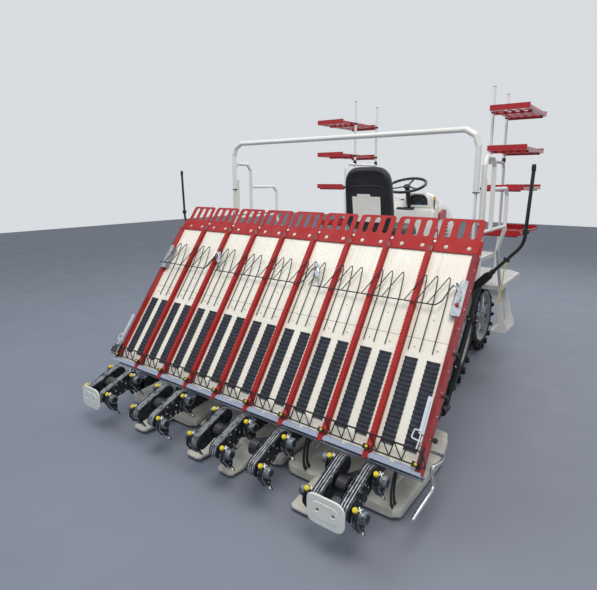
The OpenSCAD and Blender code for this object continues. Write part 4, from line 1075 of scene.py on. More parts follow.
def tyreParts(w):
    # Rounded carcass, and paddles whose tips drop towards their ends: r = tip - 11 mm * (2x / length)^2
    half = w["width"] / 2
    r0, r1, tip = w["rimRadius"] + 0.0003, w["bodyRadius"], w["radius"]
    carcass = [(-half, r0), (-half, r1 - 0.014), (-half + 0.006, r1 - 0.005), (-half + 0.015, r1), (half - 0.015, r1),
        (half - 0.006, r1 - 0.005), (half, r1 - 0.014), (half, r0)]
    sides = w["lugs"] * 4
    parts = [lathe(carcass, sides, closed=True)]
    x = np.linspace(-0.0448, 0.0448, 9)
    drop = 0.011 * (x / 0.045) ** 2
    lean = 0.006 * (x / 0.045) ** 2
    outline = [(r1 - 0.018, -0.0165, 0), (r1 + 0.006, -0.0125, 0.4), (tip - 0.01, -0.0098, 1),
        (tip - 0.002, -0.0052, 1), (tip - 0.0001, 0.0, 1), (tip - 0.002, 0.0052, 1), (tip - 0.01, 0.0098, 1),
        (r1 + 0.006, 0.0125, 0.4), (r1 - 0.018, 0.0165, 0)]
    rows = np.stack([np.stack([x, r - share * drop, side + lean], -1) for r, side, share in outline], 1)
    for i in range(w["lugs"]):
        a = 2 * math.pi * (i + 0.5) / w["lugs"]
        lug = gridPart(rows, False, True, True)
        parts.append(moved(lug, matrix=turnX(a)))
    return parts


def rimParts(w):
    r = w["rimRadius"]
    channel = [(-0.026, r - 0.009), (-0.0255, r - 0.0002), (-0.018, r - 0.0002), (-0.015, r - 0.004),
        (0.015, r - 0.004), (0.018, r - 0.0002), (0.0255, r - 0.0002), (0.026, r - 0.009), (0.0225, r - 0.0095),
        (0.0205, r - 0.008), (-0.0205, r - 0.008), (-0.0225, r - 0.0095)]
    parts = [lathe(channel, 72, closed=True)]
    hub = [(-0.042, w["bore"]), (-0.042, w["hub"] - 0.012), (-0.036, w["hub"] - 0.008), (-0.012, w["hub"] - 0.006),
        (-0.009, w["hub"]), (0.009, w["hub"]), (0.012, w["hub"] - 0.006), (0.036, w["hub"] - 0.008),
        (0.042, w["hub"] - 0.012), (0.042, w["bore"])]
    parts.append(lathe(hub, 36, closed=True))
    # Spoke: a flat bar with a raised rib, wider at the hub
    for i in range(w["spokes"]):
        a = 2 * math.pi * i / w["spokes"]
        bar = [(-0.02, w["hub"] - 0.012), (-0.014, r - 0.006), (0.014, r - 0.006), (0.02, w["hub"] - 0.012)]
        parts.append(moved(prism(bar, -0.0048, 0.0048), matrix=turnX(a)))
        rib = [(-0.005, w["hub"] - 0.004), (-0.0035, r - 0.01), (0.0035, r - 0.01), (0.005, w["hub"] - 0.004)]
        parts.append(moved(prism(rib, -0.012, 0.012), matrix=turnX(a)))
        for side in (-1, 1):
            at = turnX(a + math.pi / w["spokes"]) @ np.array([side * 0.0415, 0, w["hub"] * 0.62])
            parts += hexBolt(at, (side, 0, 0), 0.012, 0.007, slot=1)
    return parts


def makeWheels():
    for end, w in (("front", frontWheel), ("rear", rearWheel)):
        for side, word in ((1, "Right"), (-1, "Left")):
            low = word.lower()
            place = (side * w["x"], ahead(w["y"]), w["radius"])
            body = end + "_wheel_" + low
            tyre = [moved(p, place) for p in tyreParts(w)]
            rim = [moved(p, place) for p in rimParts(w)]
            makePiece(end + "Tyre" + word, tyre, [lugRubber], body, [end + "_tyre_" + low])
            makePiece(end + "Rim" + word, rim, [rimPaint, zincBolt], body, [end + "_rim_" + low])


# Chassis

chassis = dict(deckZ=0.735, rearDeckZ=1.005, bonnetHalf=0.25, postX=0.654, footY=(2.27, 2.85))


treadSettings = dict(pitch=0.034, long=0.0088, skew=0.0052, rise=0.0015)


def treadLevel(x, y):
    # Height of the deck under a bar, or None off the decks, under the seat, at the bonnet and at the posts' feet
    wide = abs(x)
    if min(math.hypot(wide - chassis["postX"], y - foot) for foot in chassis["footY"]) < 0.03:
        return None
    if y < 2.035:
        bare = wide > 0.815 or (wide < 0.36 and y < 1.21) or (wide < 0.2 and y > 1.6)
        return None if bare else chassis["rearDeckZ"]
    bare = y < 2.1 or wide > 0.86 - max(0, y - 2.76) * 1.1 or (wide < 0.275 and y > 2.27)
    return None if bare else chassis["deckZ"]


def makeTreads():
    # Raised bars on both decks, turned by turns to either side, as on pressed tread plate
    p = treadSettings
    parts = []
    for x in np.arange(-0.86, 0.861, p["pitch"]):
        for y in np.arange(1.14, 2.86, p["pitch"]):
            level = treadLevel(x, y)
            if level is None:
                continue
            odd = (int(round(x / p["pitch"])) + int(round(y / p["pitch"]))) % 2
            along = np.array([p["long"], -p["skew"] if odd else p["skew"]])
            wide = np.array([-along[1], along[0]]) * 0.32
            outline = np.array([along, along * 0.5 + wide, -along * 0.5 + wide, -along, -along * 0.5 - wide,
                along * 0.5 - wide]) + [x, y]
            parts.append(prism(outline, level + 0.0001, level + p["rise"], "z"))
    makePiece("deckTreads", placed(parts), [deckPaint], "chassis", smooth=False)


stepSettings = dict(top=0.6997, rear=2.118, front=2.352, inside=(2.1225, 2.3475))


def makeSteps():
    # Two curved side plates and a folded tread with grip studs between them
    parts = []
    p = stepSettings
    top, (rear, front) = p["top"], p["inside"]
    outline = roundedOutline([(0.792, top), (0.872, top), (0.884, 0.64), (0.918, 0.53), (0.93, 0.46), (0.961, 0.405),
        (0.957, 0.351), (0.85, 0.351), (0.896, 0.4), (0.88, 0.52), (0.83, 0.64)],
        [0, 0.004, 0.05, 0.05, 0.04, 0.02, 0.012, 0.008, 0.03, 0.05, 0.03], 6)
    for y in (p["rear"], p["front"]):
        parts.append(moved(cutPlate(outline, [ring(0.009, 14) + [0.842, 0.665]], 0.008, 0.0015), (0, y, 0), standing))
    parts.append(block((0.84, rear, 0.3505), (0.951, front, 0.3535)))
    for x in (0.84, 0.9485):
        parts.append(block((x, rear, 0.3535), (x + 0.0025, front, 0.368)))
    for x in np.arange(0.856, 0.942, 0.0165):
        for y in np.arange(2.14, 2.34, 0.025):
            parts.append(lathe([(0, 0.0048), (0.002, 0.0042), (0.0021, 0.0002)], 8, "z", origin=(x, y, 0.3534)))
    makePiece("sideSteps", placed(parts + mirrored(parts)), [whitePaint], "chassis", ["side_steps"])


def bonnetSection(width, bottom, top):
    # Upper half of a rounded box: x = w |cos|^(2/p), z = bottom + h |sin|^(2/p)
    count, power = 41, 4.2
    angle = np.linspace(0, np.pi, count)
    x = width * np.sign(np.cos(angle)) * np.abs(np.cos(angle)) ** (2 / power)
    z = bottom + (top - bottom) * np.abs(np.sin(angle)) ** (2 / power)
    return np.stack([x, z], -1)


def solidify(piece, thickness):
    wall = piece.modifiers.new("wall", "SOLIDIFY")
    wall.thickness = thickness
    wall.offset = -1
    applyModifiers(piece)
    shadeByAngle(piece)
    return piece


bonnetSettings = dict(foot=0.8565, faceY=2.947, lampAt=(0.15, 2.9453, 1.12),
    hinge=(0.145, 0.195, 2.413, 1.396), wall=0.004)


def makeBonnet():
    # Shell lofted through round-cornered sections towards the face
    b = bonnetSettings
    half = chassis["bonnetHalf"] - 0.0005
    stations = [(2.4245, half, 1.393), (2.47, half, 1.397), (2.56, half - 0.001, 1.3995), (2.66, half - 0.004, 1.394),
        (2.76, half - 0.009, 1.378), (2.84, half - 0.015, 1.352), (2.89, half - 0.021, 1.322),
        (2.92, half - 0.028, 1.284), (2.937, half - 0.035, 1.238), (2.944, half - 0.043, 1.19)]
    rows = []
    for y, width, top in stations:
        s = bonnetSection(width, b["foot"], top)
        rows.append(np.stack([s[:, 0], np.full(len(s), y), s[:, 1]], -1))
    shell = gridPart(np.array(rows))
    face = rows[-1]
    shell[1].append(np.arange(len(face))[::-1].reshape(1, -1) + (len(rows) - 1) * len(face))
    piece = makePiece("bonnetShell", placed([shell]), [whiteShell], "bonnet", ["bonnet"])
    solidify(piece, b["wall"])
    # Grille panel with slats, side louvres and the hinge barrels
    parts = []
    panel = roundedBox((-0.085, 1.01), (0.085, 1.165), 0.02)
    parts.append(moved(cutPlate(panel, [], 0.006, 0.0012, 1), (0, b["faceY"], 0), standing))
    for z in np.arange(1.03, 1.155, 0.016):
        parts.append(block((-0.072, 2.9495, z), (0.072, 2.9535, z + 0.005), 2))
    for side in (-1, 1):
        for z in np.arange(0.93, 1.16, 0.03):
            parts.append(block((side * (half - 0.03), 2.52, z), (side * (half + 0.0004), 2.66, z + 0.012), 1))
        # Red side flash under the shoulder
        flash = roundedOutline([(2.43, 1.262), (2.545, 1.296), (2.6, 1.286), (2.6, 1.205), (2.43, 1.205)], 0.012)
        parts.append(prism(flash, side * (half - 0.02), side * (half + 0.0006), slot=3))
        inner, outer, y, z = b["hinge"]
        low, high = sorted((side * inner, side * outer))
        barrel = [(0, 0.0045), (0, 0.0078), (0.05, 0.0078), (0.05, 0.0045)]
        parts += [lathe(barrel, 18, origin=(low, y, z), closed=True),
            block((low, 2.4195, 1.3885), (high, 2.45, 1.3925))]
    makePiece("bonnetTrim", placed(parts), [whitePaint, blackPlastic, darkCasting, redPlastic],
        "bonnet")
    # Round lamps: bezel, reflector and a domed lens
    lamps = []
    for side in (-1, 1):
        at = np.array(b["lampAt"]) * [side, 1, 1]
        bezel = [(0, 0.047), (0.004, 0.048), (0.017, 0.0475), (0.02, 0.045), (0.019, 0.041), (0.012, 0.04)]
        bowl = [(0.012, 0.04), (0.008, 0.03), (0.005, 0.016), (0.004, 0.0002)]
        lamps.append(lathe(bezel + bowl[1:], 36, "y", at, 0))
        dome = [(0.0125, 0.0398)] + [(0.0125 + 0.0085 * math.cos(a), 0.0398 * math.sin(a) + 0.0001)
            for a in np.linspace(1.4, 0.0, 8)]
        lamps.append(lathe(dome, 36, "y", at, 1))
    makePiece("headlamps", placed(lamps), [chromePlate, clearLens], "bonnet", ["headlamps"])


def makeConsole():
    # Console shell in front of the driver with soft corners, open below, and the low skirt round the engine
    half = chassis["bonnetHalf"] - 0.0003
    sections = [(0.7355, 2.2905, 2.9395), (0.84, 2.2905, 2.9395), (0.8495, 2.2905, 2.9395)]
    upper = [(0.8505, 2.2905, 2.4195), (1.0, 2.2905, 2.4195), (1.15, 2.2905, 2.4195), (1.262, 2.2905, 2.4195),
        (1.29, 2.2975, 2.4195), (1.33, 2.348, 2.4195), (1.372, 2.4115, 2.4195)]
    parts = []

    def loop(z, y0, y1, radius=0.035, count=6):
        r = min(radius, (y1 - y0) * 0.49)
        box = roundedBox((-half, y0), (half, y1), r, count)
        return np.column_stack([box, np.full(len(box), z)])
    for group in (sections, upper):
        rows = np.array([loop(*g) for g in group])
        parts.append(gridPart(rows, False, True, group is upper))
        if group is sections:
            lid = rows[-1]
            parts.append(partFrom(lid, [np.arange(len(lid)).reshape(1, -1)]))
    # Red trim on the right side
    parts.append(prism([(2.3, 1.1), (2.41, 1.1), (2.41, 1.125), (2.3, 1.118)], half, half + 0.0006, slot=1))
    makePiece("consoleShell", placed(parts), [whiteShell, redPlastic], "chassis", ["cowl"])


podSettings = dict(middle=0.075, limit=0.246, face=2.35, slot=(-0.118, 0.052), knob=(0.242, 2.311, 1.398))


def archRow(y, half, foot, top, power=3.0, count=27):
    # Arch section: x = middle + half * sign(cos) |cos|^(2/p), z = foot + (top - foot) |sin|^(2/p)
    angle = np.linspace(0, np.pi, count)
    x = podSettings["middle"] + half * np.sign(np.cos(angle)) * np.abs(np.cos(angle)) ** (2 / power)
    z = foot + (top - foot) * np.abs(np.sin(angle)) ** (2 / power)
    return np.column_stack([np.minimum(x, podSettings["limit"]), np.full(count, y), z])


def makeDashPanel():
    # White hood: from the instrument face out to a rounded lip and back over the hood to the bonnet
    p = podSettings
    rows = [archRow(*v) for v in ((2.352, 0.094, 1.336, 1.428), (2.322, 0.098, 1.333, 1.432),
        (2.315, 0.104, 1.329, 1.437), (2.314, 0.114, 1.322, 1.444), (2.322, 0.128, 1.312, 1.451),
        (2.345, 0.148, 1.305, 1.456), (2.372, 0.164, 1.3, 1.453), (2.396, 0.178, 1.3, 1.443),
        (2.408, 0.184, 1.3, 1.43))]
    parts = [gridPart(np.array(rows), False, True, True, 1)]
    # Dark instrument face with a blue window, tick marks and lamps, all blank
    face = archRow(0, 0.0925, 1.339, 1.4265)[:, [0, 2]]
    parts.append(prism(face, p["face"] - 0.0012, p["face"] + 0.0015, "y"))
    window = roundedBox((-0.062, 1.3435), (0.062, 1.362), 0.005) + [p["middle"], 0]
    parts.append(prism(window, p["face"] - 0.0024, p["face"] - 0.0011, "y", 2))
    for i, angle in enumerate(np.linspace(0.35, np.pi - 0.35, 9)):
        at = (p["middle"] + 0.052 * math.cos(angle), 1.372 + 0.036 * math.sin(angle))
        parts.append(block((at[0] - 0.0022, p["face"] - 0.0022, at[1] - 0.0022),
            (at[0] + 0.0022, p["face"] - 0.001, at[1] + 0.0022), (1, 3, 4)[i % 3]))
    # Dark tray along the foot of the slope, with two switches
    low = np.array([0, 2.42, 1.38])
    turn = turnX(math.atan2(0.095, 0.13))
    trayLine = roundedBox((p["slot"][0], -0.15), (p["slot"][1], -0.12), 0.006)
    parts.append(moved(prism(trayLine, 0.0006, 0.006, "z"), low, turn))
    for x in (-0.085, -0.05):
        switch = roundedBox((x - 0.011, -0.142), (x + 0.011, -0.128), 0.003)
        parts.append(moved(prism(switch, 0.0055, 0.0095, "z", 5), low, turn))
    # Gear lever at the right shoulder with a yellow knob
    x, y, z = p["knob"]
    parts.append(tube([(x - 0.006, y + 0.012, 1.295), (x - 0.003, y + 0.004, 1.35), (x, y, z)],
        0.005, 10, 0.02, slot=5))
    knob = [(-0.014, 0.0002), (-0.0135, 0.006), (-0.006, 0.0105), (0.004, 0.0125), (0.011, 0.0105),
        (0.0145, 0.005), (0.015, 0.0002)]
    parts.append(lathe(knob, 20, "z", (x, y, z + 0.008), 4))
    makePiece("dashPanel", placed(parts), [dashPlastic, whiteShell, dialBlue, orangePlastic, yellowPlastic,
        blackPlastic], "chassis", ["dash_panel"])


steeringSettings = dict(hub=(0, 2.262, 1.494), tilt=math.radians(21), radius=0.168, grip=0.0125, bulges=24, points=72)


def makeSteering():
    # Rim with finger bulges, r = grip * (1 + 0.08 sin(24 angle)), a boss with its cap, and three flat spokes
    p = steeringSettings
    a = np.linspace(0, 2 * np.pi, p["points"], endpoint=False)
    circle = np.stack([p["radius"] * np.cos(a), p["radius"] * np.sin(a), np.full(p["points"], 0.022)], -1)
    boss = [(0.0, 0.031), (0.003, 0.032), (0.018, 0.032), (0.024, 0.027), (0.026, 0.018), (0.026, 0.0002)]
    cap = [(0.024, 0.022), (0.0262, 0.021), (0.0275, 0.012), (0.028, 0.0002)]
    parts = [sweep(circle, ring(1.0, 12) * p["grip"], closed=True, scales=1 + 0.08 * np.sin(p["bulges"] * a)),
        lathe(boss, 32, "z"), lathe(cap, 28, "z", slot=1)]
    for t in np.radians((90, 210, 330)):
        spoke = [(r * math.cos(t), r * math.sin(t), z) for r, z in ((0.024, 0.014), (0.1, 0.013), (0.164, 0.021))]
        parts.append(sweep(rounded(spoke, 0.05), ring(1, 12) * [0.011, 0.005]))
    parts = [moved(part, p["hub"], turnX(p["tilt"])) for part in parts]
    makePiece("steeringWheel", placed(parts), [blackPlastic, dashPlastic], "steering_wheel",
        ["steering_wheel"])


makeWheels()
makeTreads()
makeSteps()
makeBonnet()
makeConsole()
makeDashPanel()
makeSteering()
print("stage: wheels and chassis")


# Seat

seat = dict(backFoot=(1.648, 1.155), lean=math.radians(8), backWidth=0.44, backHeight=0.53, cushionY=1.888,
    cushionZ=1.0953, cushionWidth=0.44, cushionLength=0.43, cushionHeight=0.115, cushionPuff=0.006, backPuff=0.005,
    taperTop=0.955, taperBottom=1.03, plate=(-0.134, 0.112, 0.09, 0.29))


def padParts(width, length, height, crown, squareness=5.0):
    # Closed crowned pad: each ring is a rounded square |x|^p + |y|^p = 1 that shrinks over a soft shoulder,
    # height = h (1 - s^4) + crown (1 - s^2), and the underside is flat
    rings, sides = 26, 96
    angle = np.arange(sides) * 2 * np.pi / sides
    ex = np.sign(np.cos(angle)) * np.abs(np.cos(angle)) ** (2 / squareness)
    ey = np.sign(np.sin(angle)) * np.abs(np.sin(angle)) ** (2 / squareness)
    rows = [np.stack([ex * width / 2 * s, ey * length / 2 * s, np.zeros(sides)], -1) for s in (0.02, 0.5, 0.93)]
    for u in np.linspace(0, 1, rings):
        s = math.cos(u * math.pi / 2) ** 0.32 if u < 1 else 0.0
        s = max(s, 0.02)
        z = 0.06 * height + 0.94 * (height - crown) * math.sin(min(1, u * 1.9) * math.pi / 2) + crown * (1 - s * s)
        rows.append(np.stack([ex * width / 2 * s, ey * length / 2 * s, np.full(sides, z)], -1))
    return gridPart(np.array(rows), False, True, True)


def puffed(piece, cap):
    # Air-filled cover: remesh, let cloth pressure swell it for 20 frames, and keep each point within the cap
    remesh = piece.modifiers.new("even", "REMESH")
    remesh.mode = "VOXEL"
    remesh.voxel_size = 0.006
    applyModifiers(piece)
    count = len(piece.data.vertices)
    start = np.zeros(count * 3)
    piece.data.vertices.foreach_get("co", start)
    cloth = piece.modifiers.new("cover", "CLOTH")
    cloth.settings.use_pressure = True
    cloth.settings.uniform_pressure_force = 4
    cloth.settings.effector_weights.gravity = 0
    cloth.settings.tension_stiffness = 30
    cloth.settings.quality = 4
    for frameNumber in range(1, 21):
        bpy.context.scene.frame_set(frameNumber)
    evaluated = piece.evaluated_get(bpy.context.evaluated_depsgraph_get())
    end = np.zeros(count * 3)
    evaluated.data.vertices.foreach_get("co", end)
    piece.modifiers.clear()
    bpy.context.scene.frame_set(1)
    shift = (end - start).reshape(-1, 3)
    size = np.linalg.norm(shift, axis=1, keepdims=True)
    shift *= np.minimum(1, cap / np.maximum(size, 1e-9))
    piece.data.vertices.foreach_set("co", (start.reshape(-1, 3) + shift).ravel())
    piece.data.update()
    level = piece.modifiers.new("smoothForm", "SUBSURF")
    level.levels = level.render_levels = 1
    applyModifiers(piece)
    piece.data.shade_smooth()
    return piece


def sewChannels(piece, centre, matrix, lines, depth, width):
    # Sewn channels: points sink by depth * exp(-(distance / width)^2) below each line, along the pad's normal
    count = len(piece.data.vertices)
    co = np.zeros(count * 3)
    piece.data.vertices.foreach_get("co", co)
    co = co.reshape(-1, 3)
    local = (co - centre) @ matrix
    sink = np.zeros(count)
    for kind, value, low, high in lines:
        along, other = (local[:, 0], local[:, 1]) if kind == "x" else (local[:, 1], local[:, 0])
        fade = np.clip((other - low) / 0.02, 0, 1) * np.clip((high - other) / 0.02, 0, 1)
        sink = np.maximum(sink, depth * np.exp(-((along - value) / width) ** 2) * fade)
    local[:, 2] -= sink * (local[:, 2] > 0.02)
    piece.data.vertices.foreach_set("co", (local @ matrix.T + centre).ravel())
    piece.data.update()


def tapered(part, height, top, bottom):
    # Narrower upwards: across = across * (top + (bottom - top) * (0.5 - up / height))
    points = part[0].copy()
    points[:, 0] *= top + (bottom - top) * (0.5 - points[:, 1] / height)
    return points, part[1], part[2]


def makeSeat():
    s = seat
    # Cushion: crowned square pad with cross channels
    base = np.array([0, ahead(s["cushionY"]), s["cushionZ"] + 0.003])
    pad = moved(padParts(s["cushionWidth"] - 0.014, s["cushionLength"] - 0.014,
        s["cushionHeight"] - 0.012, 0.028), base)
    cushion = makePiece("seatCushion", [pad], [seatCover], "chassis", ["seat_cushion"])
    puffed(cushion, s["cushionPuff"])
    sewChannels(cushion, base, np.eye(3), [("y", -0.1, -0.15, 0.15), ("y", 0.0, -0.15, 0.15), ("y", 0.1, -0.15, 0.15),
        ("x", -0.155, -0.17, 0.17), ("x", 0.155, -0.17, 0.17)], 0.009, 0.006)
    # Back: the same pad stood up, narrower at the top, its flat side to the rear
    lean = turnX(s["lean"])
    matrix = lean @ np.array([[-1, 0, 0], [0, 0, 1], [0, 1, 0]])
    foot = np.array([0, ahead(s["backFoot"][0]), s["backFoot"][1]])
    middle = foot + lean @ np.array([0, -0.0745, s["backHeight"] / 2])
    pad = padParts(s["backWidth"] - 0.012, s["backHeight"] - 0.014, 0.068, 0.018, 4.0)
    pad = tapered(pad, s["backHeight"], s["taperTop"], s["taperBottom"])
    back = makePiece("seatBack", [moved(pad, middle, matrix)], [seatCover], "chassis", ["seat_back"])
    puffed(back, s["backPuff"])
    sewChannels(back, middle, matrix, [("y", -0.09, -0.14, 0.14), ("y", 0.0, -0.14, 0.14), ("y", 0.09, -0.14, 0.14),
        ("x", -0.15, -0.2, 0.2), ("x", 0.15, -0.2, 0.2)], 0.008, 0.006)
    # Moulded rear shell, a little inside the cover's edge, with a raised border round a sunk panel
    w, h = s["backWidth"] / 2 - 0.02, s["backHeight"] / 2 - 0.024
    outer = roundedOutline([(-w * s["taperBottom"], -h), (w * s["taperBottom"], -h), (w * s["taperTop"], h),
        (-w * s["taperTop"], h)], [0.07, 0.07, 0.13, 0.13], 14)
    rows = []
    for share, depth in ((1.0, -0.066), (1.0, -0.076), (0.988, -0.0825), (0.965, -0.086), (0.9, -0.0868),
            (0.884, -0.0858), (0.872, -0.0815), (0.85, -0.0802), (0.5, -0.0812), (0.02, -0.0815)):
        rows.append(np.column_stack([outer[:, 0] * share, np.full(len(outer), depth),
            outer[:, 1] * share + s["backHeight"] / 2]))
    shell = gridPart(np.array(rows), False, True, True)
    # Pressed ridge across the panel with dropped ends
    ridge = rounded([(-0.158, -0.0812, 0.338), (-0.128, -0.0814, 0.372), (0.12, -0.0814, 0.372),
        (0.154, -0.0812, 0.338)], 0.035, 9)
    parts = [shell, sweep(ridge, ring(1, 10) * [0.0075, 0.0052], up=(0, 1, 0.01))]
    # Blank white plate, held by a folded tab
    low, high, bottom, top = s["plate"]
    plate = roundedBox((low, bottom), (high, top), 0.006)
    parts += [moved(cutPlate(plate, [], 0.0016, 0.0004, 1), (0, -0.0832, 0), standing),
        block((low + 0.045, -0.085, top - 0.002), (low + 0.16, -0.0828, top + 0.02), 1)]
    parts = [moved(p, foot, lean) for p in parts]
    makePiece("seatShell", parts, [blackPlastic, whiteShell], "chassis")


makeSeat()
print("stage: seat")


# Rails, racks, markers and bumper

def collar(at, radius, length):
    profile = [(0, radius + 0.0004), (0.001, radius + 0.004), (length - 0.001, radius + 0.004),
        (length, radius + 0.0004)]
    return lathe(profile, 22, "z", at, closed=True)


fittingSettings = dict(rackY=(2.446, 2.886), railY=(2.27, 2.9), rackZ=(1.7905, 2.1005), railZ=(1.1205, 1.4805),
    top=2.3128, footHalf=0.028)


def makeTubeDetails():
    # Clamps of the hoop, dark sockets on rails and posts, plugs in the posts' tops, and the posts' bolted feet
    p, deck = fittingSettings, chassis["deckZ"]
    parts = []
    for side in (-1, 1):
        x = side * chassis["postX"]
        parts += [collar((side * 0.971, 1.056, 1.4805), 0.017, 0.007),
            collar((side * 1.004, 1.085, 1.255), 0.0135, 0.04)]
        parts += [collar((x, y, 1.722), 0.012, 0.035) for y in p["rackY"]]
        for y in p["rackY"]:
            parts += [collar((x, y, z), 0.012, 0.018) for z in p["rackZ"]]
            plug = [(0, 0.0122), (0.001, 0.0128), (0.004, 0.0128), (0.0068, 0.008), (0.007, 0.0002)]
            parts.append(lathe([(p["top"] + a, r) for a, r in plug], 18, "z", (x, y, 0)))
        parts += [collar((x, y, z), 0.013, 0.02) for y in p["railY"] for z in p["railZ"]]
        for y in chassis["footY"]:
            foot = roundedBox((-p["footHalf"], -p["footHalf"]), (p["footHalf"], p["footHalf"]), 0.008)
            parts.append(prism(foot + [x, y], deck + 0.0003, deck + 0.0045, "z", 1))
            for dx, dy in ((-0.02, -0.02), (0.02, 0.02), (-0.02, 0.02), (0.02, -0.02)):
                parts += hexBolt((x + dx, y + dy, deck + 0.0045), (0, 0, 1), 0.008, 0.005, slot=2)
    makePiece("tubeFittings", placed(parts), [blackPlastic, whitePaint, zincBolt], "chassis")


markerSettings = dict(pivot=(1.01, 0.62, 0.33), knee=(1.1, 0.8, 1.01), elbow=(1.303, 0.8, 1.233),
    top=(1.32, 0.8, 1.6), coils=14)


def makeMarkers():
    # Folded line marker: sprung elbow at the foot, thick lower tube, clamp, thin outer rod and a blunt tip
    p = markerSettings
    parts = []
    pivot, knee = np.array(p["pivot"]), np.array(p["knee"])
    parts.append(tube([pivot + (knee - pivot) * 0.02, knee], 0.0148, 18))
    coil = np.linspace(0, 2 * np.pi * p["coils"], 14 * p["coils"])
    axis = (knee - pivot) / np.linalg.norm(knee - pivot)
    side = np.cross(axis, (0, 1, 0))
    side /= np.linalg.norm(side)
    other = np.cross(axis, side)
    turns = np.cos(coil)[:, None] * side + np.sin(coil)[:, None] * other
    path = pivot + axis * (0.1 + coil[:, None] * 0.0019) + 0.0185 * turns
    parts += [tube(path, 0.0032, 7), tube([knee, p["elbow"], p["top"]], 0.0088, 14, 0.045)]
    # Folding bracket at the knee: two cheeks, a pin and a stop
    upward = np.array(p["elbow"]) - knee
    upward /= np.linalg.norm(upward)
    for offset in (-0.019, 0.019):
        cheek = barOutline(knee[[0, 2]] - upward[[0, 2]] * 0.02, knee[[0, 2]] + upward[[0, 2]] * 0.055, 0.02, 10)
        parts.append(moved(cutPlate(cheek, [], 0.004, 0.0008), (0, knee[1] + offset, 0), standing))
    for share in (0.0, 0.045):
        parts.append(lathe([(-0.024, 0.007), (0.024, 0.007)], 14, "y", knee + upward * share))
    parts.append(tube([knee + upward * 0.03, knee + upward * 0.1], 0.0135, 16))
    # Barrels at the pivot and the knee, clamps with bolts on the lower tube, and sleeves on the upper rod
    barrel = [(-0.03, 0.0122), (-0.03, 0.021), (-0.026, 0.0238), (0.026, 0.0238), (0.03, 0.021), (0.03, 0.0122)]
    parts.append(lathe(barrel, 24, "y", pivot, closed=True))
    knob = [(-0.018, 0.008), (-0.015, 0.0165), (0.015, 0.0165), (0.018, 0.008)]
    parts.append(lathe(knob, 20, "y", knee))
    for share in (0.34, 0.72):
        at = pivot + (knee - pivot) * share
        parts.append(lathe([(-0.02, 0.0148), (-0.018, 0.0205), (0.018, 0.0205), (0.02, 0.0148)], 18, "z", at))
        parts += hexBolt(at + np.array([0, -0.018, 0]), (0, -1, 0), 0.012, 0.007, False, 2)
    for at in ((1.226, 0.8, 1.149), (1.3065, 0.8, 1.3)):
        parts.append(lathe([(-0.014, 0.0088), (-0.012, 0.016), (0.012, 0.016), (0.014, 0.0088)], 16, "z", at))
    parts.append(lathe([(0, 0.0088), (0.004, 0.0105), (0.03, 0.0105), (0.036, 0.006), (0.037, 0.0002)], 16,
        "z", (1.32, 0.8, 1.598)))
    # Yellow trip rod beside the knee
    thin = [(1.226, 0.792, 1.145), (1.224, 0.77, 1.09), (1.222, 0.745, 0.96), (1.222, 0.742, 0.93)]
    parts.append(tube(thin, 0.0032, 8, 0.02, slot=1))
    for s, word in ((1, "Right"), (-1, "Left")):
        side = parts if s == 1 else mirrored(parts)
        makePiece("marker" + word, placed(side), [blackPaint, yellowRod, zincBolt], "marker_" + word.lower(),
            ["marker_" + word.lower()])


bumperSettings = dict(y=3.033, half=0.175, low=0.6, high=0.86, foot=2.9303, barZ=0.69)


def makeBumperPlate():
    # Plate for front weights with four holes, on a bent tube with a cross bar
    b = bumperSettings
    y, half, low, high = b["y"], b["half"], b["low"], b["high"]
    holes = [ring(0.0065, 14) + [x, z] for x in (-0.1, 0.1) for z in (0.665, 0.715)]
    outline = roundedBox((-0.139, 0.641), (0.139, 0.739), 0.012)
    path = [(-half, b["foot"], low), (-half, y, low), (-half, y, high), (half, y, high),
        (half, y, low), (half, b["foot"], low)]
    parts = [moved(cutPlate(outline, holes, 0.0155, 0.002), (0, y, 0), standing),
        tube(path, 0.0168, 20, [0, 0.045, 0.06, 0.06, 0.045, 0]),
        tube([(-half, y, b["barZ"]), (half, y, b["barZ"])], 0.0098, 14)]
    makePiece("frontBumper", placed(parts), [whitePaint], "chassis", ["front_bumper"])


makeTubeDetails()
makeMarkers()
makeBumperPlate()

# CAD nodes that keep their shape, by the finish they take
nodeFinishes = (
    (framePaint, ("planter_frame", "lower_links", "upper_link", "lift_barrel", "main_frame", "front_axle",
        "rear_axle")),
    (chromePlate, ("lift_rod",)),
    (whitePaint, ("rear_hoop", "side_rail_left", "side_rail_right", "rack_posts")),
    (redPlastic, ("racks_left", "racks_right")),
    (deckPaint, ("foot_deck", "rear_deck")),
    (blackPaint, ("seat_base", "steering_column")),
    (darkCasting, ("knuckle_left", "knuckle_right", "engine")))
for finish, names in nodeFinishes:
    for name in names:
        paintNode(name, finish)
print("stage: rails, racks and markers")


# Camera, floor and light

cameraSettings = dict(place=(1.831, ahead(-1.8105), 1.551), pitch=9.96, yaw=36.87, lens=28.8, shiftY=-0.0503)


def makeView():
    c = cameraSettings
    camera = bpy.data.cameras.new("camera")
    camera.lens = c["lens"]
    camera.sensor_width = 36
    camera.shift_y = c["shiftY"]
    holder = bpy.data.objects.new("camera", camera)
    holder.location = c["place"]
    holder.rotation_euler = (math.radians(90 - c["pitch"]), 0, math.radians(c["yaw"]))
    bpy.context.scene.collection.objects.link(holder)
    bpy.context.scene.camera = holder


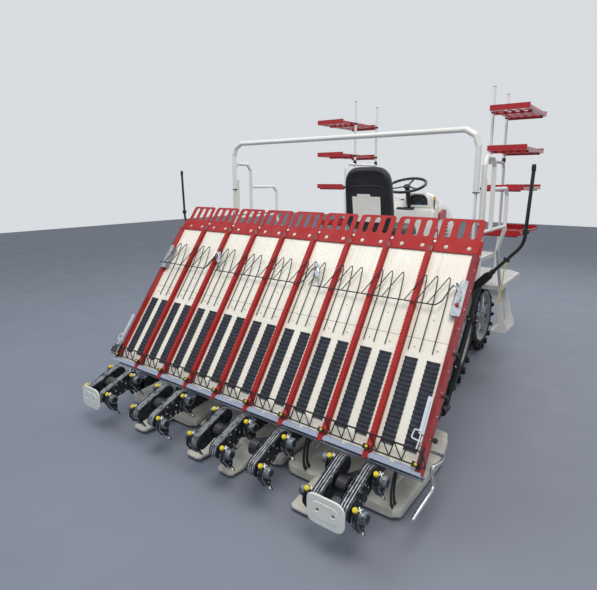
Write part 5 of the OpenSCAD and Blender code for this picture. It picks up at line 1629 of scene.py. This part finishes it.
studioSettings = dict(room=("#dfe6ee", 0.55), wall=("#e9edf1", 0.85), aim=(0, 0, 0.8),
    lamps=(("keyLamp", (2.2, -3.0, 6.4), 3.0, 225, "#fff8ef"), ("fillLamp", (-3.0, -2.4, 6.0), 4.0, 110, "#eef3ff"),
        ("backLamp", (1.0, 5.0, 5.0), 3.0, 110, "#ffffff")))


def makeFloorAndLight():
    # Plain floor, an even room that rays to the camera, mirrors and glass see brighter, and three broad lamps
    p = studioSettings
    floor = makePiece("studioFloor", [block((-14, -12, -0.02), (14, 16, -0.0008))], [floorCoat],
        "chassis", smooth=False)
    world = bpy.data.worlds.new("studio")
    bpy.context.scene.world = world
    world.use_nodes = True
    tree = world.node_tree
    tree.nodes.clear()
    path = addNode(tree, "ShaderNodeLightPath")
    direct = addNode(tree, "ShaderNodeMath", {"operation": "MAXIMUM"},
        {0: path.outputs["Is Camera Ray"], 1: path.outputs["Is Glossy Ray"]})
    seen = addNode(tree, "ShaderNodeMath", {"operation": "MAXIMUM"},
        {0: direct.outputs[0], 1: path.outputs["Is Transmission Ray"]})
    room = addNode(tree, "ShaderNodeBackground", {"Color": p["room"][0], "Strength": p["room"][1]})
    wall = addNode(tree, "ShaderNodeBackground", {"Color": p["wall"][0], "Strength": p["wall"][1]})
    mix = addNode(tree, "ShaderNodeMixShader", None, {0: seen.outputs[0]})
    tree.links.new(room.outputs[0], mix.inputs[1])
    tree.links.new(wall.outputs[0], mix.inputs[2])
    addNode(tree, "ShaderNodeOutputWorld", None, {"Surface": mix.outputs[0]})
    for name, place, size, power, colour in p["lamps"]:
        lamp = bpy.data.lights.new(name, "AREA")
        lamp.size = size
        lamp.energy = power
        lamp.color = linearColour(colour)[:3]
        holder = bpy.data.objects.new(name, lamp)
        holder.location = place
        aim = np.array(p["aim"]) - np.array(place)
        holder.rotation_euler = (math.atan2(math.hypot(aim[0], aim[1]), -aim[2]), 0,
            math.atan2(aim[1], aim[0]) - math.pi / 2)
        bpy.context.scene.collection.objects.link(holder)
    bpy.context.scene.view_settings.view_transform = "Standard"


makeView()
makeFloorAndLight()
print("stage: view and light")
